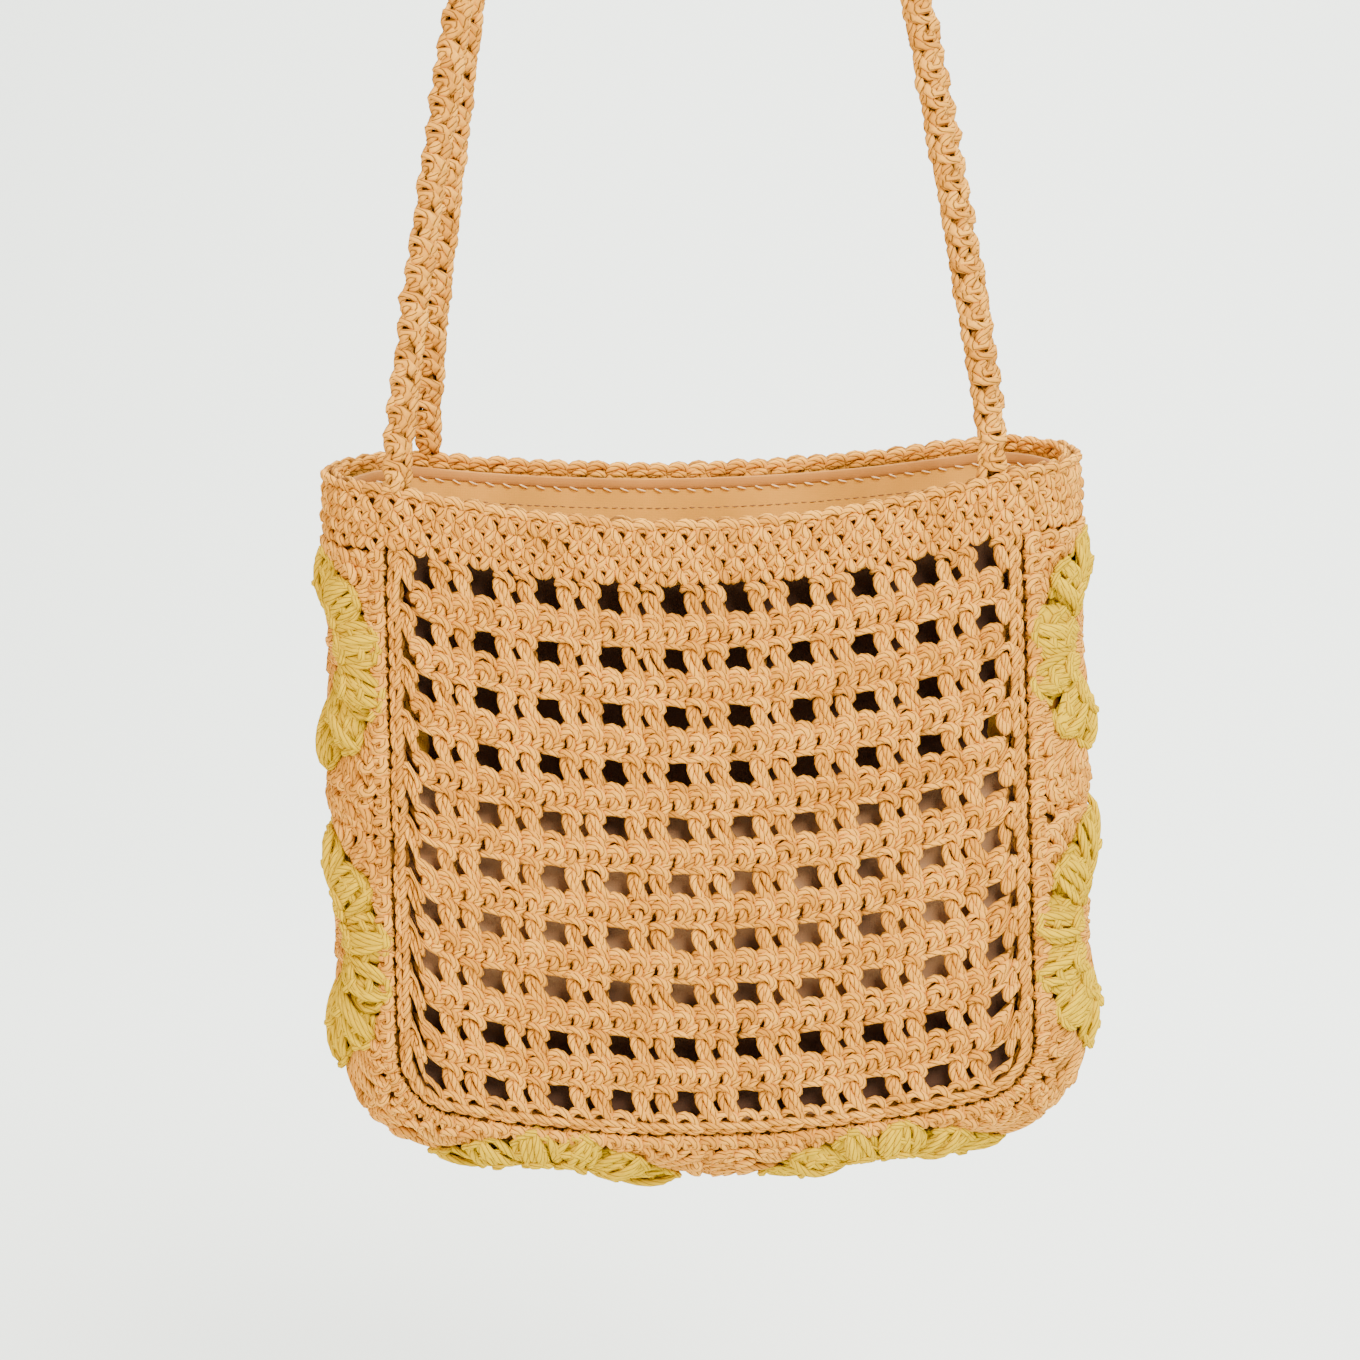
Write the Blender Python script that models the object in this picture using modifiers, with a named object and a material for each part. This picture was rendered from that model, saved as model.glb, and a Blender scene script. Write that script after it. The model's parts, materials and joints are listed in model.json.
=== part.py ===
"""Crocheted shoulder bag: two mesh-stitch faces joined by a gusset of six flower squares.

Metres, +Z up. The bag hangs from its two straps: the origin is under the top of their arch.
The front face looks along -Y, and +X is to the right of someone who looks at it.
"""

import bisect
import math

import bmesh
import bpy
from mathutils import Vector

# Driving dimensions of the hanging bag
STRAP_DROP = 0.300  # from the arch's underside down to the rim
RIM_BAND_HEIGHT = 0.0215
FACE_HEIGHT = 0.1925  # from the band down to the bottom seam's corners
TOP_HALF_WIDTH = 0.105  # seam to middle, at the band
BOTTOM_HALF_WIDTH = 0.108
BAG_DEPTH = 0.066  # front seam to back seam
GUSSET_BULGE = 0.026  # how far the gusset stands out past the seams
CORNER_RADIUS = 0.015  # of the seam, at the two bottom corners
FRONT_RIM_SAG = 0.012
BACK_RIM_SAG = 0.009
BOTTOM_SAG = 0.0135
BACK_RISE = 0.006  # the back hangs this much higher than the front
FRONT_BELLY = 0.004  # how far the front face swells forward

# Thicknesses, and the clearance between pieces that touch
WALL = 0.005
GAP = 0.0003
JOIN_RADIUS = 0.0026  # half of the ridge of joining stitches
EDGE_ROW = 0.0015  # at the ends of each square

# The mesh stitch of the front face
HOLE_COLUMNS = 10
HOLE_ROWS = 10
HOLE_WIDTH = 0.0072
HOLE_HEIGHT = 0.0078
MESH_EDGE = 0.002  # from the outermost holes to the edge of the face

# The flowers on the squares
PETALS = 12
PETAL_THICKNESS = 0.003
FLOWER_HALF_ACROSS = 0.041
FLOWER_EYE = 0.017  # radius of the plain centre
PETAL_NOTCH = 0.003  # how far the edge draws in between petals

# The straps
STRAP_WIDTH = 0.011
STRAP_THICKNESS = 0.007
STRAP_FOOT_X = 0.101
ARCH_RADIUS = 0.058  # of what the straps hang over
STRAP_BOW = 0.003  # how far a leg bows out above its foot
STRAP_BOW_AT = 0.28  # and where, as a share of the leg from its foot
STRAP_TWIST = 0.40  # share of the leg, from the arch, over which it turns to face forward
STRAP_EASE = 1.5  # how soon the legs draw together on the way up

# The lining
LINING_THICKNESS = 0.0015
LINING_CLEARANCE = 0.0012
LINING_TUCK = 0.006  # how far its top edge lies below the rim

RIM_Z = -STRAP_DROP
FACE_TOP_Z = RIM_Z - RIM_BAND_HEIGHT
SEAM_LOW_Z = FACE_TOP_Z - FACE_HEIGHT
SAG = {"front": FRONT_RIM_SAG, "back": BACK_RIM_SAG}
SIDE = {"front": -1, "back": 1}

# The gusset's cross section is one arc from seam to seam
ARC_RADIUS = (BAG_DEPTH**2 / 4 + GUSSET_BULGE**2) / (2 * GUSSET_BULGE)
ARC_HALF_ANGLE = 2 * math.atan2(2 * GUSSET_BULGE, BAG_DEPTH)
SEAM_CLEARANCE = JOIN_RADIUS + GAP

# Squares of the gusset, as shares of its length from the left end of the rim band to the right one,
# and each flower's centre and half length along it, as shares of its own square
SQUARES = [
    {"name": "left_upper", "start": 0.000, "end": 0.138, "centre": 0.46, "reach": 0.44},
    {"name": "left_lower", "start": 0.138, "end": 0.314, "centre": 0.45, "reach": 0.38},
    {"name": "bottom_left", "start": 0.314, "end": 0.500, "centre": 0.53, "reach": 0.37},
    {"name": "bottom_right", "start": 0.500, "end": 0.686, "centre": 0.47, "reach": 0.37},
    {"name": "right_lower", "start": 0.686, "end": 0.862, "centre": 0.55, "reach": 0.38},
    {"name": "right_upper", "start": 0.862, "end": 1.000, "centre": 0.54, "reach": 0.44},
]

# How the lining's front wall hangs: depth of the hollow between it and the front face,
# as a share of the bag's depth, from the rim (down 0) to the bottom seam (down 1)
LINING_HOLLOWS = [
    {"down": 0.00, "depth": 0.00},
    {"down": 0.12, "depth": 0.13},
    {"down": 0.40, "depth": 0.17},
    {"down": 0.54, "depth": 0.03},
    {"down": 0.76, "depth": 0.03},
    {"down": 0.90, "depth": 0.12},
    {"down": 1.00, "depth": 0.00},
]

MATERIALS = {
    "tan_cotton": {"color": (0.72, 0.46, 0.24), "roughness": 0.9},
    "yellow_cotton": {"color": (0.93, 0.70, 0.01), "roughness": 0.9},
    "lining_cloth": {"color": (0.68, 0.44, 0.21), "roughness": 0.85},
}


def clear_scene():
    for old in list(bpy.data.objects):
        bpy.data.objects.remove(old)


def material(name):
    """The named finish, made the first time that it is asked for."""
    if name in bpy.data.materials:
        return bpy.data.materials[name]
    made = bpy.data.materials.new(name)
    made.use_nodes = True
    shader = made.node_tree.nodes["Principled BSDF"]
    shader.inputs["Base Color"].default_value = (*MATERIALS[name]["color"], 1)
    shader.inputs["Roughness"].default_value = MATERIALS[name]["roughness"]
    shader.inputs["Metallic"].default_value = 0
    return made


def finish_piece(name, mesh_data, finish):
    """Turns a bmesh into a named, smooth-shaded object of the bag."""
    mesh = bpy.data.meshes.new(name)
    mesh_data.to_mesh(mesh)
    mesh_data.free()
    mesh.materials.append(material(finish))
    mesh.shade_smooth()
    piece = bpy.data.objects.new(name, mesh)
    bpy.data.collections["crochet_shoulder_bag"].objects.link(piece)
    return piece


def grid(columns, rows, place):
    """A sheet of columns by rows faces. place(across, down) gives a corner, with both as shares."""
    sheet = bmesh.new()
    bmesh.ops.create_grid(sheet, x_segments=columns, y_segments=rows, size=1.0)
    for corner in sheet.verts:
        across = (corner.co.x + 1) / 2
        down = (1 - corner.co.y) / 2
        corner.co = place(across, down)
    return sheet


def merge_ends(sheet):
    """Joins the first and last columns of a sheet that closes on itself."""
    bmesh.ops.remove_doubles(sheet, verts=sheet.verts, dist=0.00002)
    bmesh.ops.recalc_face_normals(sheet, faces=sheet.faces)


def thicken(piece, thickness):
    """Gives an open sheet its thickness, half on each side."""
    solidify = piece.modifiers.new("thickness", "SOLIDIFY")
    solidify.thickness = thickness
    solidify.offset = 0
    solidify.use_even_offset = True
    return piece


def hung(x, y, z):
    """A point of the bag as it hangs: the back is a little higher than the front."""
    return Vector((x, y, z + BACK_RISE * (y / BAG_DEPTH + 0.5)))


def half_width(z):
    share = min(max((FACE_TOP_Z - z) / FACE_HEIGHT, 0), 1)
    return TOP_HALF_WIDTH + (BOTTOM_HALF_WIDTH - TOP_HALF_WIDTH) * share


def seam_low(x, inset):
    """Height of the bottom seam at x: it sags in the middle and turns up round at the corners."""
    reach = BOTTOM_HALF_WIDTH - inset
    radius = CORNER_RADIUS - inset
    past = max(abs(x) - (reach - radius), 0)
    turned_up = radius - math.sqrt(max(radius**2 - past**2, 0))
    return SEAM_LOW_Z + inset - BOTTOM_SAG * (1 - (x / reach) ** 2) + turned_up


def rim_sag(side, x):
    """How far the rim hangs below its ends at x."""
    return SAG[side] * max(1 - (x / TOP_HALF_WIDTH) ** 2, 0)


def face_spot(side, across, down, tuck, inset):
    """x and z on the front or back face: across runs from -1 to 1, down from its top edge (0) to 1."""
    top = RIM_Z - tuck - rim_sag(side, across * (TOP_HALF_WIDTH - inset))
    low = seam_low(across * (BOTTOM_HALF_WIDTH - inset), inset)
    z = top + (low - top) * down
    return across * (half_width(z) - inset), z


def face_y(side, x, z):
    """Depth of a face's middle: the front swells forward, most at the top, not at the bottom seam."""
    if side == "back":
        return BAG_DEPTH / 2
    down = min(max((FACE_TOP_Z - rim_sag(side, x) - z) / FACE_HEIGHT, 0), 1)
    across = min(abs(x) / half_width(z), 1)
    return -BAG_DEPTH / 2 - FRONT_BELLY * (1 - across**2) * (1 - down**2)


def seam_spots(tuck, inset, side_steps, low_steps):
    """Spots round a face's edge, down the left side, along the bottom and up the right side."""
    sides = [step / side_steps for step in range(side_steps)]
    turns = [math.pi * step / low_steps for step in range(low_steps + 1)]
    left = [face_spot("front", -1, down, tuck, inset) for down in sides]
    low = [face_spot("front", -math.cos(turn), 1, tuck, inset) for turn in turns]
    right = [face_spot("front", 1, down, tuck, inset) for down in reversed(sides)]
    return [Vector(spot) for spot in left + low + right]


def outward(spots, at):
    """Direction square to a line of spots, away from the bag's middle."""
    before = spots[max(at - 1, 0)]
    after = spots[min(at + 1, len(spots) - 1)]
    along = (after - before).normalized()
    return Vector((along.y, -along.x))


class Seam:
    """The line where a face meets the gusset, measured along the middle of the gusset."""

    def __init__(self):
        self.spots = seam_spots(RIM_BAND_HEIGHT, 0, side_steps=24, low_steps=96)
        self.outwards = [outward(self.spots, at) for at in range(len(self.spots))]
        # The gusset's two ends meet the rim band squarely
        self.outwards[0], self.outwards[-1] = Vector((-1, 0)), Vector((1, 0))
        self.reached = [0.0]
        middles = [
            spot + out * GUSSET_BULGE for spot, out in zip(self.spots, self.outwards)
        ]
        for before, after in zip(middles, middles[1:]):
            self.reached.append(self.reached[-1] + (after - before).length)
        self.length = self.reached[-1]

    def at(self, distance):
        """Spot and outward direction at a distance along the middle of the gusset."""
        wanted = min(max(distance, 0), self.length)
        after = bisect.bisect_left(self.reached, wanted, 1)
        before = after - 1
        share = (wanted - self.reached[before]) / (self.reached[after] - self.reached[before])
        spot = self.spots[before].lerp(self.spots[after], share)
        out = self.outwards[before].lerp(self.outwards[after], share)
        return spot, out.normalized()


def gusset_point(spot, out, angle, lift):
    """A point on the gusset's arc over a seam spot: angle 0 is its middle, lift is off its surface."""
    stands_out = (ARC_RADIUS + lift) * math.cos(angle) - (ARC_RADIUS - GUSSET_BULGE)
    x, z = spot + out * stands_out
    return hung(x, (ARC_RADIUS + lift) * math.sin(angle), z)


def make_front_face():
    """Mesh-stitch panel: ten rows of ten holes, cut right through."""
    columns = 2 * HOLE_COLUMNS + 1
    rows = 2 * HOLE_ROWS + 1
    width = TOP_HALF_WIDTH + BOTTOM_HALF_WIDTH - 2 * SEAM_CLEARANCE
    height = FACE_HEIGHT - GAP - SEAM_CLEARANCE

    def line(share, count, hole, extent):
        """Share of the face at which a grid line lies: every second stripe is as wide as a hole."""
        index = round(share * (2 * count + 1))
        if index in (0, 2 * count + 1):
            return share
        bar = (extent - 2 * MESH_EDGE - count * hole) / (count - 1)
        passed, far_side = divmod(index - 1, 2)
        return (MESH_EDGE + passed * (hole + bar) + far_side * hole) / extent

    def place(across, down):
        across = 2 * line(across, HOLE_COLUMNS, HOLE_WIDTH, width) - 1
        down = line(down, HOLE_ROWS, HOLE_HEIGHT, height)
        x, z = face_spot("front", across, down, RIM_BAND_HEIGHT + GAP, SEAM_CLEARANCE)
        return hung(x, face_y("front", x, z), z)

    panel = grid(columns, rows, place)
    panel.faces.ensure_lookup_table()
    holes = [
        panel.faces[row * columns + column]
        for row in range(1, rows, 2)
        for column in range(1, columns, 2)
    ]
    bmesh.ops.delete(panel, geom=holes, context="FACES_ONLY")
    return thicken(finish_piece("front_face", panel, "tan_cotton"), WALL)


def make_back_face():
    """The panel that hangs against the wall, with its fine mesh left to the finish."""
    divisions = 9

    def place(across, down):
        across = 2 * across - 1
        x, z = face_spot("back", across, down, RIM_BAND_HEIGHT + GAP, SEAM_CLEARANCE)
        return hung(x, face_y("back", x, z), z)

    panel = grid(divisions, divisions, place)
    return thicken(finish_piece("back_face", panel, "tan_cotton"), WALL)


def rim_loop():
    """Points round the middle of the rim band's top edge: front, right arc, back and left arc."""
    straight_steps, arc_steps = 14, 8
    across_shares = [2 * step / straight_steps - 1 for step in range(straight_steps)]
    arc_angles = [(2 * step / arc_steps - 1) * ARC_HALF_ANGLE for step in range(arc_steps)]
    loop = []
    for side in ("front", "back"):
        hand = -SIDE[side]
        for share in across_shares:
            x = hand * share * TOP_HALF_WIDTH
            loop.append(hung(x, face_y(side, x, RIM_Z), RIM_Z - rim_sag(side, x)))
        for angle in arc_angles:
            stands_out = ARC_RADIUS * (math.cos(angle) - math.cos(ARC_HALF_ANGLE))
            x = hand * (TOP_HALF_WIDTH + stands_out)
            loop.append(hung(x, hand * ARC_RADIUS * math.sin(angle), RIM_Z))
    return loop


def make_rim_band():
    """Rounds of single crochet that close the top of the faces and the gusset into one hoop."""
    loop = rim_loop()

    def place(across, down):
        spot = loop[round(across * len(loop)) % len(loop)]
        return spot - Vector((0, 0, down * RIM_BAND_HEIGHT))

    band = grid(len(loop), 2, place)
    merge_ends(band)
    return thicken(finish_piece("rim_band", band, "tan_cotton"), WALL)


def square_rows(seam, square):
    """Distances along the gusset of a square's rows of corners, from its first edge to its last."""
    steps = 6
    first_gap = GAP if square is SQUARES[0] else GAP / 2
    last_gap = GAP if square is SQUARES[-1] else GAP / 2
    start = square["start"] * seam.length + first_gap
    end = square["end"] * seam.length - last_gap
    # A narrow row at each edge keeps the edges of two squares parallel where they meet in a bend
    first, last = start + EDGE_ROW, end - EDGE_ROW
    rows = [first + (last - first) * step / steps for step in range(steps + 1)]
    return [start] + rows + [end]


def make_square(seam, square):
    """One crocheted square of the gusset, bent to its arc and round the corner that it covers."""
    across_steps = 11
    rows = square_rows(seam, square)
    edge_angle = ARC_HALF_ANGLE - SEAM_CLEARANCE / ARC_RADIUS

    def place(across, down):
        spot, out = seam.at(rows[round(down * (len(rows) - 1))])
        return gusset_point(spot, out, (2 * across - 1) * edge_angle, 0)

    sheet = grid(across_steps, len(rows) - 1, place)
    name = "square_" + square["name"]
    return thicken(finish_piece(name, sheet, "tan_cotton"), WALL)


def make_flower(seam, square):
    """Ring of yellow petals, raised on its square, with the square showing in its eye."""
    length = (square["end"] - square["start"]) * seam.length
    centre = square["start"] * seam.length + square["centre"] * length
    half_along = square["reach"] * length
    steps_each, steps_out = 3, 3
    steps_round = steps_each * PETALS
    # Flat facets dip towards the square between their corners, both along it and across
    facet_length = 2 * math.pi * FLOWER_HALF_ACROSS / steps_round
    facet_dip = facet_length**2 / (8 * ARC_RADIUS)
    lift = WALL / 2 + GAP + 2 * facet_dip + PETAL_THICKNESS / 2

    def place(across, down):
        index = round(across * steps_round) % steps_round
        angle = 2 * math.pi * index / steps_round
        notch = 0 if index % steps_each else PETAL_NOTCH
        rim_across = FLOWER_HALF_ACROSS - notch
        rim_along = half_along - notch
        across_way = math.cos(angle) * (FLOWER_EYE + (rim_across - FLOWER_EYE) * down)
        along_way = math.sin(angle) * (FLOWER_EYE + (rim_along - FLOWER_EYE) * down)
        spot, out = seam.at(centre + along_way)
        return gusset_point(spot, out, across_way / ARC_RADIUS, lift)

    ring = grid(steps_round, steps_out, place)
    merge_ends(ring)
    name = "flower_" + square["name"]
    return thicken(finish_piece(name, ring, "yellow_cotton"), PETAL_THICKNESS)


def make_join(seam, side):
    """Ridge of joining stitches where a face meets the gusset: a round cord that bends with it."""
    # Its ends lie below the band's edge, which has begun to sag over the ridge's inner side
    start = GAP + rim_sag(side, TOP_HALF_WIDTH - JOIN_RADIUS)
    stations = [start]
    for square in SQUARES:
        stations += square_rows(seam, square)[1:]
    stations[-1] = seam.length - start
    curve = bpy.data.curves.new("join_path", "CURVE")
    curve.dimensions = "3D"
    curve.bevel_depth = JOIN_RADIUS
    curve.bevel_resolution = 1
    curve.use_fill_caps = True
    line = curve.splines.new("POLY")
    line.points.add(len(stations) - 1)
    for distance, point in zip(stations, line.points):
        spot, _ = seam.at(distance)
        point.co = (*hung(spot.x, SIDE[side] * BAG_DEPTH / 2, spot.y), 1)
    curve.materials.append(material("tan_cotton"))
    piece = bpy.data.objects.new(side + "_join", curve)
    bpy.data.collections["crochet_shoulder_bag"].objects.link(piece)
    return piece


def lining_hollow(down):
    """Depth of the hollow behind the front face at a share of the way down, eased between rows."""
    for above, below in zip(LINING_HOLLOWS, LINING_HOLLOWS[1:]):
        if down <= below["down"]:
            share = (down - above["down"]) / (below["down"] - above["down"])
            eased = share * share * (3 - 2 * share)
            depth = above["depth"] + (below["depth"] - above["depth"]) * eased
            return depth * BAG_DEPTH
    return 0


def make_lining():
    """Cloth bag inside the crochet, open at the top: two faces and a gusset strip sewn into one."""
    lift = -(WALL / 2 + LINING_CLEARANCE + LINING_THICKNESS / 2)
    radius = ARC_RADIUS + lift
    inset = -lift * math.cos(ARC_HALF_ANGLE)
    edge_y = radius * math.sin(ARC_HALF_ANGLE)
    columns, rows, strip_steps = 12, 14, 6

    def face_corner(side, across, down):
        """Corners crowd towards the sides, so that the strip turns the bottom corners in steps."""
        across = -math.cos(math.pi * across)
        x, z = face_spot(side, across, down, LINING_TUCK, inset)
        y = face_y(side, x, z) - SIDE[side] * (BAG_DEPTH / 2 - edge_y)
        if side == "front":
            y += lining_hollow(down) * (1 - across**4)
        return hung(x, y, z)

    spots = seam_spots(LINING_TUCK, inset, side_steps=rows, low_steps=columns)

    def strip_corner(across, down):
        at = round(down * (len(spots) - 1))
        angle = (2 * across - 1) * ARC_HALF_ANGLE
        stands_out = radius * (math.cos(angle) - math.cos(ARC_HALF_ANGLE))
        x, z = spots[at] + outward(spots, at) * stands_out
        return hung(x, radius * math.sin(angle), z)

    shell = bmesh.new()
    sew_on(shell, grid(columns, rows, lambda across, down: face_corner("front", across, down)))
    sew_on(shell, grid(columns, rows, lambda across, down: face_corner("back", across, down)))
    sew_on(shell, grid(strip_steps, len(spots) - 1, strip_corner))
    merge_ends(shell)
    return thicken(finish_piece("lining", shell, "lining_cloth"), LINING_THICKNESS)


def sew_on(shell, sheet):
    """Adds a sheet to a shell; edges that lie on one another are merged later."""
    patch = bpy.data.meshes.new("patch")
    sheet.to_mesh(patch)
    sheet.free()
    shell.from_mesh(patch)
    bpy.data.meshes.remove(patch)


def strap_section(side, share):
    """Centre, width and thickness directions of a strap; share runs from -1 to 1, foot to foot."""
    centre_radius = ARCH_RADIUS + STRAP_THICKNESS / 2
    foot = Vector((STRAP_FOOT_X, 0, strap_foot_z(side, STRAP_FOOT_X)))
    reach = Vector((foot.x, foot.z + ARCH_RADIUS))
    leave = math.atan2(reach.x, reach.y) - math.acos(centre_radius / reach.length)
    leg = math.sqrt(reach.length**2 - centre_radius**2)
    walked = abs(share) * (leg + centre_radius * leave)
    turn = min(walked / centre_radius, leave)
    down_leg = max(walked - centre_radius * leave, 0)
    spread = min(down_leg / leg, 1)

    bend = math.log(0.5) / math.log(STRAP_BOW_AT)
    bow = STRAP_BOW * math.sin(math.pi * (1 - spread) ** bend)
    x = centre_radius * math.sin(turn) + down_leg * math.cos(leave) + bow
    z = -ARCH_RADIUS + centre_radius * math.cos(turn) - down_leg * math.sin(leave)
    top_y = SIDE[side] * (STRAP_WIDTH + GAP) / 2
    foot_y = face_y(side, STRAP_FOOT_X, RIM_Z)
    y = top_y + (foot_y - top_y) * spread**STRAP_EASE

    # The strap lies flat over the arch and has turned to face forward at its foot
    turned = min(spread / STRAP_TWIST, 1)
    twist = math.pi / 2 * turned**2 * (3 - 2 * turned)
    outward = Vector((math.sin(turn), 0, math.cos(turn)))
    along_y = Vector((0, 1, 0))
    wide = along_y * math.cos(twist) + outward * math.sin(twist)
    thick = outward * math.cos(twist) - along_y * math.sin(twist)
    mirror = Vector((1 if share >= 0 else -1, 1, 1))
    return Vector((x, y, z)) * mirror, wide * mirror, thick * mirror


def strap_foot_z(side, x):
    """Height of a strap's foot at x, just clear of the rim."""
    return hung(x, face_y(side, x, RIM_Z), RIM_Z - rim_sag(side, x)).z + GAP


def make_strap(side):
    """Crocheted strap from the rim's left to its right, as an oval bar with eight sides."""
    steps, sides = 44, 8

    def place(around, along):
        centre, wide, thick = strap_section(side, 2 * along - 1)
        turn = 2 * math.pi * around
        spot = centre + wide * (STRAP_WIDTH / 2 * math.cos(turn))
        spot += thick * (STRAP_THICKNESS / 2 * math.sin(turn))
        if along in (0, 1):
            spot.z = strap_foot_z(side, spot.x)
        return spot

    bar = grid(sides, steps, place)
    merge_ends(bar)
    bmesh.ops.holes_fill(bar, edges=bar.edges)
    bmesh.ops.recalc_face_normals(bar, faces=bar.faces)
    return finish_piece(side + "_strap", bar, "tan_cotton")


def build():
    clear_scene()
    bag = bpy.data.collections.new("crochet_shoulder_bag")
    bpy.context.scene.collection.children.link(bag)
    seam = Seam()
    make_front_face()
    make_back_face()
    make_rim_band()
    for square in SQUARES:
        make_square(seam, square)
        make_flower(seam, square)
    for side in ("front", "back"):
        make_join(seam, side)
        make_strap(side)
    make_lining()


build()
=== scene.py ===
"""Looks of a crocheted shoulder bag: each stitch is laid as loops of yarn on the shape of its piece.

Metres, +Z up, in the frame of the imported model. Stitches are drawn flat, as someone who looks at the
fabric from outside sees them, with x to the right, y up and z out of the fabric. Geometry Nodes then lay
them on the bag.
"""

import bisect
import json
import math

import bmesh
import bpy
from mathutils import Matrix, Vector

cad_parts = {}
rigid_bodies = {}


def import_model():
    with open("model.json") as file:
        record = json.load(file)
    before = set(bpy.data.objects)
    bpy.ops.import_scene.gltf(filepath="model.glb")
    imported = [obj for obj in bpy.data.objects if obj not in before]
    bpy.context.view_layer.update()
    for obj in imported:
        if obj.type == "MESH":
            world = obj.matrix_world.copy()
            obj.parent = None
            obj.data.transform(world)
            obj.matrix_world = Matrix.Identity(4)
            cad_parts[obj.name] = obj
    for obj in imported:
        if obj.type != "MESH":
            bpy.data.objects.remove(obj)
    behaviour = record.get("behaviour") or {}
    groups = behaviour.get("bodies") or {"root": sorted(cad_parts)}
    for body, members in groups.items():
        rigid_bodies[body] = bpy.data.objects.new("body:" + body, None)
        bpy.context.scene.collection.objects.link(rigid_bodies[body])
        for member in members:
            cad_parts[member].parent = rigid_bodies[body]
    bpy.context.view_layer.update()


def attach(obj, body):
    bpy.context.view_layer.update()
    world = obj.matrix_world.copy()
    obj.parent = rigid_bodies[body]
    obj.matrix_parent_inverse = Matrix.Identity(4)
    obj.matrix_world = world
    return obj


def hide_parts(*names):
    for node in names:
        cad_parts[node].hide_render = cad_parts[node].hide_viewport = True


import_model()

# Camera: a little above the middle of the bag and looking slightly down on it, as the photograph was taken.
CAMERA_SPOT = (-0.0093, -1.1302, -0.1955)
CAMERA_DIP = math.radians(9.0)
CAMERA_ROLL = math.radians(1.5)
CAMERA_LENS = 85.63

camera_data = bpy.data.cameras.new("camera")
camera_data.sensor_width = 36
camera_data.lens = CAMERA_LENS
camera = bpy.data.objects.new("camera", camera_data)
bpy.context.scene.collection.objects.link(camera)
camera.matrix_world = (
    Matrix.Translation(CAMERA_SPOT)
    @ Matrix.Rotation(math.pi / 2 - CAMERA_DIP, 4, "X")
    @ Matrix.Rotation(-CAMERA_ROLL, 4, "Z")
)
bpy.context.scene.camera = camera


# Front face: a panel of mesh stitch in plied tan cotton. Rows of paired double-crochet posts stand
# between square holes, with a row of single crochet between one row of posts and the next.
STRAP_DROP = 0.300
RIM_BAND_HEIGHT = 0.0215
FACE_HEIGHT = 0.1925
TOP_HALF_WIDTH = 0.105
BOTTOM_HALF_WIDTH = 0.108
BAG_DEPTH = 0.066
CORNER_RADIUS = 0.015
FRONT_RIM_SAG = 0.0138
BACK_RIM_SAG = 0.0072
BOTTOM_SAG = 0.0135
BACK_RISE = 0.006
FRONT_BELLY = 0.004
GAP = 0.0003
JOIN_RADIUS = 0.0026
HOLE_COLUMNS = 10
HOLE_ROWS = 10
HOLE_WIDTH = 0.0072
HOLE_HEIGHT = 0.0078
MESH_EDGE = 0.002
YARN_RADIUS = 0.0015
MM = 0.001

RIM_Z = -STRAP_DROP
FACE_TOP_Z = RIM_Z - RIM_BAND_HEIGHT
SEAM_LOW_Z = FACE_TOP_Z - FACE_HEIGHT
SEAM_CLEARANCE = JOIN_RADIUS + GAP
SAG = {"front": FRONT_RIM_SAG, "back": BACK_RIM_SAG}
SIDE = {"front": -1, "back": 1}
FACE_FLAT_WIDTH = TOP_HALF_WIDTH + BOTTOM_HALF_WIDTH - 2 * SEAM_CLEARANCE
FACE_FLAT_HEIGHT = FACE_HEIGHT - GAP - SEAM_CLEARANCE


def hung(x, y, z):
    """A point of the bag as it hangs: the back is a little higher than the front."""
    return Vector((x, y, z + BACK_RISE * (y / BAG_DEPTH + 0.5)))


def half_width(z):
    share = min(max((FACE_TOP_Z - z) / FACE_HEIGHT, 0), 1)
    return TOP_HALF_WIDTH + (BOTTOM_HALF_WIDTH - TOP_HALF_WIDTH) * share


def seam_low(x, inset):
    """Height of the bottom seam at x: it sags in the middle and turns up round at the corners."""
    reach = BOTTOM_HALF_WIDTH - inset
    radius = CORNER_RADIUS - inset
    past = max(abs(x) - (reach - radius), 0)
    turned_up = radius - math.sqrt(max(radius**2 - past**2, 0))
    return SEAM_LOW_Z + inset - BOTTOM_SAG * (1 - (x / reach) ** 2) + turned_up


def rim_sag(side, x):
    return SAG[side] * max(1 - (x / TOP_HALF_WIDTH) ** 2, 0)


def face_spot(side, across, down, tuck, inset):
    """x and z on the front or back face: across runs from -1 to 1, down from its top edge (0) to 1."""
    top = RIM_Z - tuck - rim_sag(side, across * (TOP_HALF_WIDTH - inset))
    low = seam_low(across * (BOTTOM_HALF_WIDTH - inset), inset)
    z = top + (low - top) * down
    return across * (half_width(z) - inset), z


def face_y(side, x, z):
    """Depth of a face's middle: the front swells forward, most at the top, not at the bottom seam."""
    if side == "back":
        return BAG_DEPTH / 2
    down = min(max((FACE_TOP_Z - rim_sag(side, x) - z) / FACE_HEIGHT, 0), 1)
    across = min(abs(x) / half_width(z), 1)
    return -BAG_DEPTH / 2 - FRONT_BELLY * (1 - across**2) * (1 - down**2)


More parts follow.
